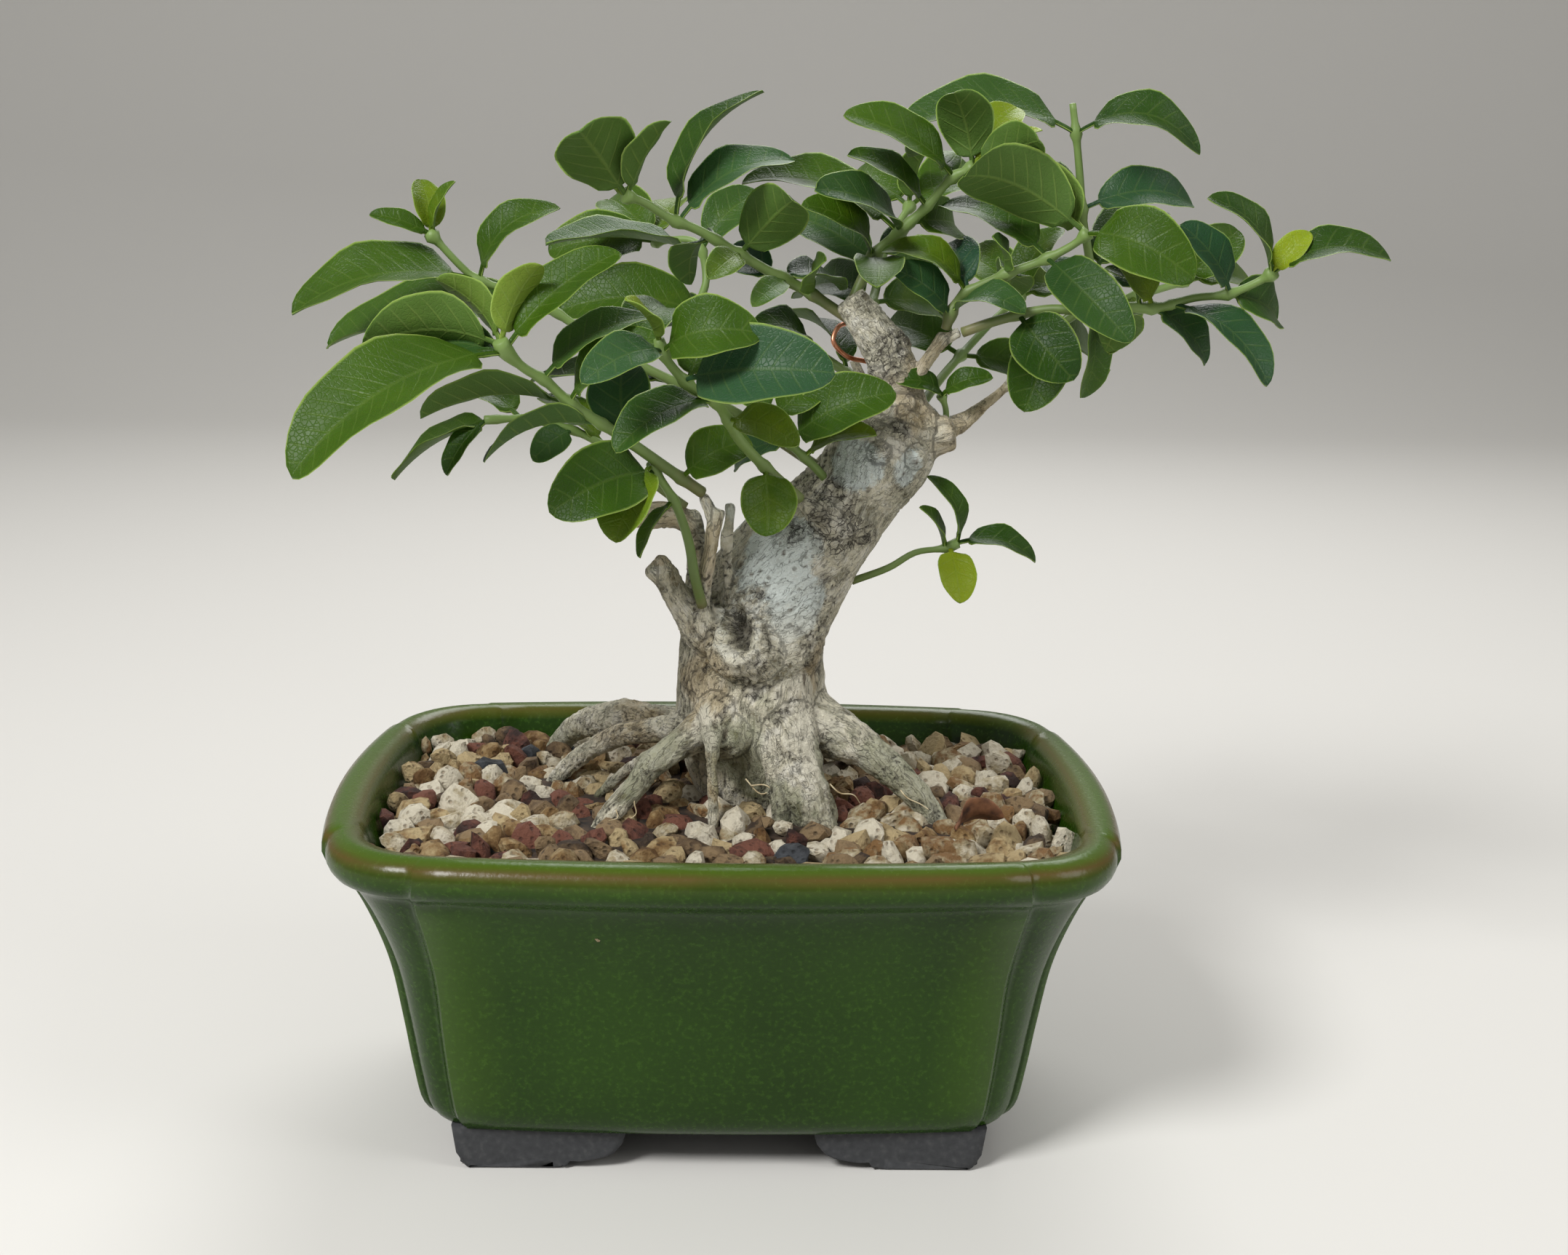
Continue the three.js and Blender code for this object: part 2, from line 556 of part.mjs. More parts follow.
function potSolid() {
  const outer = outerProfile.map(([height, halfLength, halfDepth, corner]) => {
    const bow = height > bodyHeight ? lipBow : bodyBow;
    return potOutline(halfLength, halfDepth, corner, bow, creaseDepth, height);
  });
  const inner = innerProfile.map((level) => innerRing(level, 0));
  let pot = toSolid(skin([...outer, ...inner]));
  const foot = footSolid();
  for (const [flipX, flipY] of [[0, 0], [1, 0], [0, 1], [1, 1]]) {
    let copy = foot;
    if (flipX) copy = copy.mirror([1, 0, 0]);
    if (flipY) copy = copy.mirror([0, 1, 0]);
    pot = pot.add(copy);
  }
  for (const side of [-1, 1]) {
    const drill = new THREE.CylinderGeometry(holeDiameter / 2, holeDiameter / 2, 20, 12);
    drill.rotateX(Math.PI / 2);
    drill.translate((side * holeSpacing) / 2, 0, potFloorHeight - 5);
    pot = pot.subtract(toSolid(drill));
  }
  return pot;
}

// A square plastic screen with a grid of holes, which keeps the soil in above a drainage hole.
function screenSolid(side) {
  const bottom = potFloorHeight + clearance;
  const x = (side * holeSpacing) / 2;
  const holes = 3;
  const pitch = (screenSide - screenBar) / holes;
  let screen = box(screenSide, screenSide, screenThickness, x, 0, bottom);
  for (let i = 0; i < holes; i += 1) {
    for (let j = 0; j < holes; j += 1) {
      const away = (k) => (k - (holes - 1) / 2) * pitch;
      const size = pitch - screenBar;
      screen = screen.subtract(box(size, size, screenThickness * 3, x + away(i), away(j), bottom - screenThickness));
    }
  }
  return screen;
}

// Trunk, roots and twigs in one piece. grow is the clearance around it where it is used as a cutter.
function treeSolid(grow = 0) {
  const flutes = (angle, share) => 1 + 0.045 * Math.sin(3 * angle + 5 * share) + 0.03 * Math.sin(5 * angle - 9 * share);
  const parts = [rod(trunkAxis, trunkSides, trunkSteps, grow, flutes)];
  for (const stations of Object.values(roots)) parts.push(rod(stations, rootSides, stations.length - 1, grow));
  for (const stations of Object.values(oldWood)) parts.push(rod(stations, twigSides, stations.length - 1, grow));
  return join(parts);
}

function woundSolid() {
  const hole = new THREE.SphereGeometry(1, 8, 6);
  hole.scale(...woundHole.radii);
  hole.translate(...woundHole.centre);
  return toSolid(hole);
}

// The gravel surface is a lattice of low six-sided stones. Every third lattice point is a stone's
// top, and the two between are the gaps around it.
function gravelSolid() {
  const draw = makeDraw(11);
  const spread = (reach) => (draw() - 0.5) * 2 * reach;
  const rowStep = stoneSpacing * Math.sqrt(0.75);
  const columns = Math.ceil(potLength / stoneSpacing) + 2;
  const rows = Math.ceil(potDepth / rowStep) + 2;
  const points = [];
  for (let r = 0; r <= rows; r += 1) {
    for (let q = 0; q <= columns; q += 1) {
      const x = (q - columns / 2 + (r % 2) / 2) * stoneSpacing;
      const y = (r - rows / 2) * rowStep;
      const isTop = (q - Math.floor(r / 2) - r + 300) % 3 === 0;
      const wander = isTop ? stoneWander : gapWander;
      const px = x + spread(wander);
      const py = y + spread(wander);
      const fromTrunk = Math.hypot(px - moundCentre.x, py - moundCentre.y) / moundReach;
      const mound = soilMound * Math.exp(-fromTrunk * fromTrunk);
      const relief = isTop ? stoneRise + spread(0.6) : stoneGap + spread(0.3);
      points.push(new THREE.Vector3(px, py, soilHeight + mound + relief));
    }
  }
  const width = columns + 1;
  const triangles = [];
  const addQuad = (a, b, c, d, split) => {
    if (split) triangles.push(a, b, c, a, c, d);
    else triangles.push(a, b, d, b, c, d);
  };
  for (let r = 0; r < rows; r += 1) {
    for (let q = 0; q < columns; q += 1) {
      const a = r * width + q;
      addQuad(a, a + 1, a + 1 + width, a + width, r % 2 === 1);
    }
  }
  const border = [];
  for (let q = 0; q < columns; q += 1) border.push(q);
  for (let r = 0; r < rows; r += 1) border.push(r * width + columns);
  for (let q = columns; q > 0; q -= 1) border.push(rows * width + q);
  for (let r = rows; r > 0; r -= 1) border.push(r * width);
  const firstLow = points.length;
  border.forEach((index) => points.push(new THREE.Vector3(points[index].x, points[index].y, 0)));
  points.push(new THREE.Vector3(0, 0, 0));
  const bottomMiddle = points.length - 1;
  border.forEach((index, k) => {
    const nextK = (k + 1) % border.length;
    triangles.push(index, firstLow + k, firstLow + nextK, index, firstLow + nextK, border[nextK]);
    triangles.push(bottomMiddle, firstLow + nextK, firstLow + k);
  });
  return toSolid(fromTriangles(points, triangles));
}

function soilSolid(treeCutter) {
  const levels = [...innerProfile].reverse().map((level) => innerRing(level, clearance));
  levels[0].forEach((p) => { p.z += clearance; });
  const filling = toSolid(skin(levels));
  let soil = filling.intersect(gravelSolid());
  const cut = screenSide + 2 * clearance;
  for (const side of [-1, 1]) {
    const x = (side * holeSpacing) / 2;
    soil = soil.subtract(box(cut, cut, screenThickness + 2 * clearance, x, 0, potFloorHeight));
  }
  return mainBody(soil.subtract(treeCutter));
}

// A leaf with its stalk: a midrib that arches from base to tip, and two halves folded up along it.
function leafSolid(base, [, x, y, z, width, roll, arch]) {
  const tip = new THREE.Vector3(x, y, z);
  const along = tip.clone().sub(base);
  const length = along.length();
  along.normalize();
  const up = Math.abs(along.z) > 0.93 ? new THREE.Vector3(0, -1, 0) : new THREE.Vector3(0, 0, 1);
  const side = along.clone().cross(up).normalize();
  side.applyAxisAngle(along, THREE.MathUtils.degToRad(-roll));
  const face = side.clone().cross(along);
  const fold = THREE.MathUtils.degToRad(leafFold);
  const stations = length > longLeaf ? [0, petioleShare, 0.38, 0.72, 1] : [0, petioleShare, 0.55, 1];
  const rings = stations.map((share) => {
    const middle = base.clone().addScaledVector(along, share * length)
      .addScaledVector(face, arch * 4 * share * (1 - share));
    const v = Math.max(0, (share - petioleShare) / (1 - petioleShare));
    const blade = (width / 2) * Math.sin(Math.PI * v ** bladeSkew) ** bladeFullness;
    const half = Math.max(blade, petioleWidth / 2 * (v > 0.5 ? 0.6 : 1));
    const rise = Math.sin(fold) * Math.max(0, half - petioleWidth / 2);
    const reach = Math.cos(fold) * half;
    const thick = v > 0 ? leafThickness : petioleWidth * 0.9;
    const point = (across, height) => middle.clone().addScaledVector(side, across).addScaledVector(face, height);
    const top = point(0, thick / 2);
    const bottom = point(0, -thick / 2);
    if (share === 1) return [top, top, top, bottom, bottom, bottom];
    if (v === 0) return [point(-half, 0), top, point(half, 0), point(half, 0), bottom, point(-half, 0)];
    return [point(-reach, rise + thick / 2), top, point(reach, rise + thick / 2),
      point(reach, rise - thick / 2), bottom, point(-reach, rise - thick / 2)];
  });
  const points = rings.flat();
  const triangles = [];
  const addTriangle = (...corners) => {
    const keys = corners.map((k) => points[k].toArray().join());
    if (new Set(keys).size === 3) triangles.push(...corners);
  };
  for (let i = 0; i < rings.length - 1; i += 1) {
    for (let j = 0; j < 6; j += 1) {
      const a = i * 6 + j;
      const b = i * 6 + ((j + 1) % 6);
      const underside = j === 3 || j === 4;
      addTriangle(a, b, underside ? a + 6 : b + 6);
      addTriangle(underside ? b : a, b + 6, a + 6);
    }
  }
  addTriangle(0, 4, 1);
  addTriangle(1, 4, 2);
  return toSolid(fromTriangles(points, triangles));
}

function stemSolid({ path, thick, leaves }) {
  const curve = new THREE.CatmullRomCurve3(path.map((p) => new THREE.Vector3(...p)));
  const stations = path.map((p, i) => [...p, THREE.MathUtils.lerp(thick[0], thick[1], i / (path.length - 1)) / 2]);
  const steps = Math.max(3, Math.round(curve.getLength() / stemStep));
  const parts = [rod(stations, stemSides, steps)];
  for (const row of leaves) {
    const place = Math.min(row[0], 0.99) * steps;
    const before = Math.floor(place);
    const base = curve.getPointAt(before / steps).lerp(curve.getPointAt((before + 1) / steps), place - before);
    parts.push(leafSolid(base, row));
  }
  return join(parts);
}

// Annealed copper wire, a loose loop on the left of the upper trunk.
function wireGeometry() {
  const points = wirePath.map((point) => new THREE.Vector3(...point));
  const circle = new THREE.Shape();
  circle.absarc(0, 0, wireDiameter / 2, 0, Math.PI * 2);
  const options = { steps: wireSteps, extrudePath: new THREE.CatmullRomCurve3(points), curveSegments: 3 };
  return new THREE.ExtrudeGeometry(circle, options);
}

const group = new THREE.Group();

function place(name, geometry, color, roughness, metalness = 0) {
  const mesh = new THREE.Mesh(geometry, new THREE.MeshStandardMaterial({ color, roughness, metalness }));
  mesh.name = name;
  group.add(mesh);
}

const treeCutter = treeSolid(clearance);
place('pot', toGeometry(potSolid()), glazeColour, 0.25);
place('drain_screen_left', toGeometry(screenSolid(-1)), plasticColour, 0.6);
place('drain_screen_right', toGeometry(screenSolid(1)), plasticColour, 0.6);
place('soil', toGeometry(soilSolid(treeCutter)), soilColour, 0.95);
place('trunk', toGeometry(treeSolid().subtract(woundSolid())), barkColour, 0.85);
place('wire', wireGeometry(), copperColour, 0.45, 0.9);

const leafNodes = [...new Set(stems.map((stem) => stem.node))];
for (const name of leafNodes) {
  const spray = join(stems.filter((stem) => stem.node === name).map(stemSolid));
  const colour = name === 'leaves_stub' ? youngLeafColour : leafColour;
  place(name, toGeometry(mainBody(spray.subtract(treeCutter))), colour, 0.5);
}

// The origin moves to the middle of the whole part's footprint, on the surface it stands on.
const extent = new THREE.Box3().setFromObject(group);
const middle = extent.getCenter(new THREE.Vector3());
group.position.set(-middle.x, -middle.y, 0);

export default group;
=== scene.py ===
import math

import bpy
import numpy as np
from mathutils import Matrix, Vector


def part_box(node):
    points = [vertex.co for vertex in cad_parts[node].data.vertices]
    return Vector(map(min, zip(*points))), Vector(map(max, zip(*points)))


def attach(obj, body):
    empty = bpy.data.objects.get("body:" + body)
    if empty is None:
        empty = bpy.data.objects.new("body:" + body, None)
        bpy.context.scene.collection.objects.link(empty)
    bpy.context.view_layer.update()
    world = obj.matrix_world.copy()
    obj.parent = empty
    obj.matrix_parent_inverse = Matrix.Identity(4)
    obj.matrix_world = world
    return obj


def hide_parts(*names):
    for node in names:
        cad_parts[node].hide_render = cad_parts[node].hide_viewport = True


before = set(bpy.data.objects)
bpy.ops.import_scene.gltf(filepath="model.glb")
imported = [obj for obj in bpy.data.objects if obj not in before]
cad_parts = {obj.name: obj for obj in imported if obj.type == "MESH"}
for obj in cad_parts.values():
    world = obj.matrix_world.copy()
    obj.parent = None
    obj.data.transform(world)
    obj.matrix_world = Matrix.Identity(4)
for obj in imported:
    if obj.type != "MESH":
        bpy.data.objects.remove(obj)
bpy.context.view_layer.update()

# Everything below is worked out in millimetres from the pot's centre on the table, x to the
# right, y away from the eye, z up. The pot's node says where that centre is in the row.
potLow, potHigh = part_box("pot")
potCentre = np.array([(potLow.x + potHigh.x) / 2, (potLow.y + potHigh.y) / 2, 0.0])
metre = 0.001

# the camera stands at the photograph's place and angle; lengths in pixels are the photograph's
view = {
    "place": (0.2, -383.0, 183.5),
    "down": 13.05,  # degrees below level
    "turn": -1.63,  # degrees to the left
    "roll": 1.1,
    "focalPixels": 2800,
    "imageWidth": 2156,
    "sensorWidth": 36,
    "nearest": 0.01,  # metres; nothing nearer is drawn
}


def addCamera():
    turn, down, roll = (math.radians(view[key]) for key in ("turn", "down", "roll"))
    forward = Vector((-math.sin(turn) * math.cos(down), math.cos(turn) * math.cos(down), -math.sin(down)))
    level = Vector((math.cos(turn), math.sin(turn), 0))
    rise = level.cross(forward)
    right = math.cos(roll) * level + math.sin(roll) * rise
    up = -math.sin(roll) * level + math.cos(roll) * rise
    lens = bpy.data.cameras.new("camera")
    lens.sensor_width = view["sensorWidth"]
    lens.lens = view["focalPixels"] * lens.sensor_width / view["imageWidth"]
    lens.clip_start = view["nearest"]
    camera = bpy.data.objects.new("camera", lens)
    turned = Matrix((right, up, -forward)).transposed().to_4x4()
    turned.translation = Vector(potCentre) + Vector(view["place"]) * metre
    camera.matrix_world = turned
    bpy.context.scene.collection.objects.link(camera)
    bpy.context.scene.camera = camera


addCamera()


def linearColour(hexCode):
    # a hex code is sRGB, sockets want linear light
    parts = np.array([int(hexCode[i : i + 2], 16) for i in (1, 3, 5)]) / 255
    parts = np.where(parts <= 0.04045, parts / 12.92, ((parts + 0.055) / 1.055) ** 2.4)
    return (*parts.tolist(), 1.0)


def setInputs(tree, node, inputs):
    # a socket is linked to the input, any other value becomes its constant
    for name, value in inputs.items():
        if isinstance(value, bpy.types.NodeSocket):
            tree.links.new(value, node.inputs[name])
        else:
            node.inputs[name].default_value = value


def addNode(tree, kind, inputs=(), out=0, stops=None, **settings):
    # a shader node; inputs is a dictionary or, for the first ones in order, a list; gives one output
    node = tree.nodes.new("ShaderNode" + kind)
    for name, value in settings.items():
        setattr(node, name, value)
    if stops:
        for _ in range(len(stops) - 2):
            node.color_ramp.elements.new(0.5)
        for element, (place, colour) in zip(node.color_ramp.elements, stops):
            element.position, element.color = place, linearColour(colour)
    setInputs(tree, node, inputs if isinstance(inputs, dict) else dict(enumerate(inputs)))
    return node.outputs[out]


def blend(tree, under, over, share, strength=1):
    # one colour laid over another; either may be a hex code
    under, over = (linearColour(colour) if isinstance(colour, str) else colour for colour in (under, over))
    if strength != 1:
        share = addNode(tree, "Math", [share, strength], operation="MULTIPLY")
    return addNode(tree, "Mix", {0: share, 6: under, 7: over}, out=2, data_type="RGBA")


def newMaterial(name):
    material = bpy.data.materials.new(name)
    material.use_nodes = True
    tree = material.node_tree
    return material, tree, tree.nodes["Principled BSDF"], addNode(tree, "TexCoord", out="Object")


def perMillimetre(size):
    # scale of a texture in Object coordinates, which are metres, for a pattern of this size
    return 1.0 / (size * metre)


def plainMaterial(name, size, detail, stops, settings, bump=0):
    # one noise gives the colour and, where bump isn't 0, the relief
    material, tree, shader, place = newMaterial(name)
    cloud = addNode(tree, "TexNoise", {"Vector": place, "Scale": perMillimetre(size), "Detail": detail})
    setInputs(tree, shader, {"Base Color": addNode(tree, "ValToRGB", {"Fac": cloud}, stops=stops), **settings})
    if bump:
        relief = addNode(tree, "Bump", {"Height": cloud, "Strength": bump, "Distance": 0.0002})
        setInputs(tree, shader, {"Normal": relief})
    return material


def hashValue(cells, seed):
    # a repeatable value from 0 to 1 for each whole-numbered cell: its numbers times large primes,
    # mixed by shifts within 32 bits
    largest = 0xFFFFFFFF
    mixed = cells[..., 0] * 73856093 ^ cells[..., 1] * 19349663 ^ cells[..., 2] * 83492791 ^ (seed * 2654435761)
    mixed = mixed & largest
    mixed = ((mixed ^ (mixed >> 15)) * 2246822519) & largest
    mixed = ((mixed ^ (mixed >> 13)) * 3266489917) & largest
    return ((mixed ^ (mixed >> 16)) & largest) / largest


def valueNoise(points, size, seed=0):
    # noise from -1 to 1: random values on a lattice of this size, blended smoothly
    places = np.asarray(points, float) / size
    cell = np.floor(places).astype(np.int64)
    part = places - cell
    ease = part * part * (3 - 2 * part)
    total = np.zeros(len(places))
    for corner in range(8):
        step = np.array([corner & 1, corner >> 1 & 1, corner >> 2 & 1])
        weight = np.prod(np.where(step, ease, 1 - ease), axis=1)
        total += weight * hashValue(cell + step, seed)
    return total * 2 - 1


def layeredNoise(points, size, seed=0, layers=3):
    # each layer is half the size and half as strong
    return sum(valueNoise(points, size / 2**k, seed + 17 * k) / 2**k for k in range(layers))


def crackNoise(points, size, seed=0):
    # 0 on the border between cells, about 1 in their middles
    places = np.asarray(points, float) / size
    cell = np.floor(places).astype(np.int64)
    nearest = np.full(len(places), 9.0)
    second = np.full(len(places), 9.0)
    for corner in np.ndindex(3, 3, 3):
        there = cell + np.array(corner) - 1
        seedPoint = np.stack([hashValue(there, seed + k) for k in range(3)], axis=1) + there
        reach = np.linalg.norm(seedPoint - places, axis=1)
        second = np.minimum(second, np.maximum(nearest, reach))
        nearest = np.minimum(nearest, reach)
    return np.clip((second - nearest) * 1.6, 0, 1)


def smoothStep(low, high, values):
    share = np.clip((values - low) / (high - low), 0, 1)
    return share * share * (3 - 2 * share)


def addMarks(mesh, marks):
    # a value for each point, which the materials read
    for key, values in marks.items():
        mesh.attributes.new(key, "FLOAT", "POINT").data.foreach_set("value", np.asarray(values, np.float32))


def addPiece(name, points, faceSets, materials, stands=(), attributes=None, materialIndex=None):
    # points in millimetres; faceSets is a list of whole-number arrays, quads or triangles
    mesh = bpy.data.meshes.new(name)
    corners = np.concatenate([faces.ravel() for faces in faceSets]).astype(np.int32)
    sizes = np.concatenate([np.full(len(faces), faces.shape[1]) for faces in faceSets])
    mesh.vertices.add(len(points))
    mesh.vertices.foreach_set("co", (np.asarray(points) * metre + potCentre).astype(np.float32).ravel())
    mesh.loops.add(len(corners))
    mesh.loops.foreach_set("vertex_index", corners)
    mesh.polygons.add(len(sizes))
    mesh.polygons.foreach_set("loop_start", np.concatenate([[0], np.cumsum(sizes)[:-1]]).astype(np.int32))
    for material in materials:
        mesh.materials.append(material)
    if materialIndex is not None:
        mesh.polygons.foreach_set("material_index", materialIndex.astype(np.int32))
    addMarks(mesh, attributes or {})
    mesh.update(calc_edges=True)
    mesh.validate()
    mesh.shade_smooth()
    piece = bpy.data.objects.new(name, mesh)
    bpy.context.scene.collection.objects.link(piece)
    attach(piece, "root")
    if stands:
        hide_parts(*stands)
    return piece


def applyModifiers(piece):
    # the modifiers' result becomes the piece's own mesh
    graph = bpy.context.evaluated_depsgraph_get()
    finished = bpy.data.meshes.new_from_object(piece.evaluated_get(graph))
    piece.modifiers.clear()
    old = piece.data
    piece.data = finished
    finished.name = piece.name
    bpy.data.meshes.remove(old)


def splinePoints(stations, perSpan=12):
    # a smooth curve through the stations (centripetal Catmull-Rom), as many columns as they have
    stations = np.asarray(stations, float)
    ends = [2 * stations[0] - stations[1], 2 * stations[-1] - stations[-2]]
    knots = np.vstack([ends[0], stations, ends[1]])
    share = np.linspace(0, 1, perSpan, endpoint=False)[:, None]
    pieces = []
    for p0, p1, p2, p3 in zip(knots, knots[1:], knots[2:], knots[3:]):
        gap = [max(math.sqrt(np.linalg.norm((b - a)[:3])), 1e-4) for a, b in ((p0, p1), (p1, p2), (p2, p3))]
        startSlope = ((p1 - p0) / gap[0] - (p2 - p0) / (gap[0] + gap[1]) + (p2 - p1) / gap[1]) * gap[1]
        endSlope = ((p2 - p1) / gap[1] - (p3 - p1) / (gap[1] + gap[2]) + (p3 - p2) / gap[2]) * gap[1]
        curve = (2 * share**3 - 3 * share**2 + 1) * p1 + (share**3 - 2 * share**2 + share) * startSlope
        curve = curve + (3 * share**2 - 2 * share**3) * p2 + (share**3 - share**2) * endSlope
        pieces.append(curve)
    return np.vstack(pieces + [stations[-1:]])


def stepLengths(curve):
    return np.linalg.norm(np.diff(curve[:, :3], axis=0), axis=1)


def tapered(path, first, last):
    # the path with a fourth column, the radius from first to last
    return np.hstack([path, np.linspace(first, last, len(path))[:, None]])


def evenPoints(curve, count):
    # the same curve in steps of equal length
    length = np.concatenate([[0], np.cumsum(stepLengths(curve))])
    wanted = np.linspace(0, length[-1], count)
    return np.stack([np.interp(wanted, length, curve[:, k]) for k in range(curve.shape[1])], axis=1)


def ringFaces(rings, poles=None):
    # quads between the rings of a stack, and a fan to a pole at both ends, by default each end's middle
    levels, count = rings.shape[:2]
    grid = np.arange(levels * count).reshape(levels, count)
    following = np.roll(grid, -1, axis=1)
    quads = np.stack([grid[:-1], following[:-1], following[1:], grid[1:]], axis=-1).reshape(-1, 4)
    points = rings.reshape(-1, 3)
    poles = np.stack([rings[0].mean(axis=0), rings[-1].mean(axis=0)]) if poles is None else poles
    low = np.stack([np.full(count, len(points)), following[0], grid[0]], axis=1)
    high = np.stack([np.full(count, len(points) + 1), grid[-1], following[-1]], axis=1)
    return np.vstack([points, poles]), quads, np.vstack([low, high])


# the small dome that closes a tube: its rings' share of the radius, how far they and its tip stand out
dome = {"rings": (0.8, 0.35), "lift": 0.25, "tip": 0.2}


def tube(curve, sides, lobes=None):
    # rings of points round a curve of x, y, z and radius: centre + radius times lobes, all round;
    # closed at both ends by a small dome
    path, radii = curve[:, :3], curve[:, 3]
    along = np.gradient(path, axis=0)
    along /= np.linalg.norm(along, axis=1)[:, None]
    level = np.eye(3)[np.argmin(np.abs(along).sum(axis=0))]
    first = np.cross(along, level)
    first /= np.linalg.norm(first, axis=1)[:, None]
    second = np.cross(along, first)
    angle = np.linspace(0, 2 * math.pi, sides, endpoint=False)
    share = np.linspace(0, 1, len(path))[:, None]
    reach = np.broadcast_to(radii[:, None] * (lobes(angle[None], share) if lobes else 1), (len(path), sides))
    rings = path[:, None] + first[:, None] * (np.cos(angle) * reach)[..., None]
    rings = rings + second[:, None] * (np.sin(angle) * reach)[..., None]
    domes = []
    for end, sign in ((0, -1), (-1, 1)):
        for part in dome["rings"]:
            lift = along[end] * sign * radii[end] * dome["lift"] * (1 - part)
            domes.append(path[end] + (rings[end] - path[end]) * part + lift)
    rings = np.concatenate([[domes[1], domes[0]], rings, [domes[2], domes[3]]])
    tips = along * radii[:, None] * dome["tip"]
    points, quads, triangles = ringFaces(rings, np.stack([path[0] - tips[0], path[-1] + tips[-1]]))
    return points, quads[:, [0, 3, 2, 1]], triangles[:, [0, 2, 1]]


class Gathered:
    # meshes joined in one: points, quads and triangles, with one row of marks for each point
    def __init__(self):
        self.points, self.quads, self.triangles, self.marks = [], [], [], []
        self.count = 0

    def add(self, points, quads, triangles, marks=None):
        self.points.append(points)
        self.quads.append(quads + self.count)
        self.triangles.append(triangles + self.count)
        self.marks.append(np.zeros((len(points), 1)) if marks is None else marks)
        self.count += len(points)

    def arrays(self):
        faces = [np.vstack(self.quads), np.vstack(self.triangles)]
        return np.vstack(self.points), faces, np.vstack(self.marks)


print("frame and camera ready")


# glazed stoneware: bowed sides, set-back corners, rolled lip, cloud-shaped feet
pot = {
    # height, half length, half depth and corner size, up the outside
    "outside": [
        [6.2, 50.5, 35, 7.5], [7.0, 52.8, 37.3, 8], [8.4, 55.2, 39.6, 8.7], [11, 56.9, 41.2, 9.2],
        [18, 58.3, 42.6, 9.6], [28, 59.8, 44.1, 10.2], [40, 62, 46.3, 11.6], [49, 65, 49.2, 13.2],
        [54.5, 67.8, 51.6, 15], [56.8, 70.4, 53.4, 17.2], [58.2, 73.4, 55.6, 20], [60.8, 75, 57, 22],
        [63.6, 74.4, 56.4, 21.6], [65, 72.2, 54.2, 20.6],
    ],
    # over the lip and down the inside to the floor
    "inside": [
        [65, 70, 52, 19.8], [64.2, 67.6, 49.6, 19], [62.2, 66.7, 48.7, 18], [57, 65.2, 47.4, 17],
        [46, 58.6, 42.8, 14], [24, 53.4, 37.8, 11], [13.5, 50, 34.6, 9],
    ],
    "outsideLevels": 46,
    "insideLevels": 22,
    "bodyTop": 56.5,
    # how far the middle of each side stands out, and how far the corners stand back
    "lipBow": 3.0,
    "bodyBow": 1.6,
    "innerBow": 2.0,
    "crease": 1.5,
    "innerCrease": 0.2,
    "holeSpacing": 44,
    "holeDiameter": 11,
    "glazeLine": 7.6,
    "glazeWander": 1.6,
    "footHeight": 8.5,
    "footWidth": 8,
    "footFront": 37.6,
    "footEnd": 49.5,
    "footStep": 1.4,  # the side legs stand in from the ends by this
    "darkGlaze": "#1a3203",
    "midGlaze": "#233f05",
    "paleGlaze": "#4f6e1c",
    "speck": "#3c5f14",
    "edgeBrown": "#5a4822",
    "clay": "#38393b",
}


def potRings(levels, bow, crease, sideSteps=9, arcSteps=11):
    # each level's outline: side = half length less the bow times the square of the way from its middle,
    # then a smooth step back by the crease, then a round corner; and where each point is near a ridge
    height, length, depth, corner = (levels[:, k, None] for k in range(4))
    share = np.linspace(0, 1, sideSteps)[None]
    fade = smoothStep(0, 1, np.linspace(0, 1, 5))[None]
    radius = corner - bow - crease
    angle = np.radians(np.linspace(6, 84, arcSteps))[None]
    straightX, straightY = length - corner, depth - corner
    sideX = [length - bow * share**2, straightY * share]
    creaseX = [length - bow - crease * fade, straightY + crease * 0.7 * fade]
    arc = [straightX + radius * np.cos(angle), straightY + radius * np.sin(angle)]
    creaseY = [straightX + crease * 0.7 * fade[:, ::-1], depth - bow - crease * fade[:, ::-1]]
    sideY = [straightX * share[:, ::-1], depth - bow * share[:, ::-1] ** 2]
    quarter = [np.concatenate([sideX[k], creaseX[k][:, 1:-1], arc[k], creaseY[k][:, 1:-1], sideY[k]], axis=1)
               for k in range(2)]
    mark = np.zeros(quarter[0].shape[1])
    ridge = [0.5, 1, 0.7, 0.2]
    mark[sideSteps - 2 : sideSteps + 2] = ridge
    mark[-sideSteps - 2 : -sideSteps + 2] = ridge[::-1]
    x, y = quarter
    ring = np.stack([
        np.concatenate([x[:, :-1], -x[:, :0:-1], -x[:, :-1], x[:, :0:-1]], axis=1),
        np.concatenate([y[:, :-1], y[:, :0:-1], -y[:, :-1], -y[:, :0:-1]], axis=1),
    ], axis=-1)
    rings = np.concatenate([ring, np.broadcast_to(height[..., None], (*ring.shape[:2], 1))], axis=-1)
    return rings, np.concatenate([mark[:-1], mark[:0:-1]] * 2)


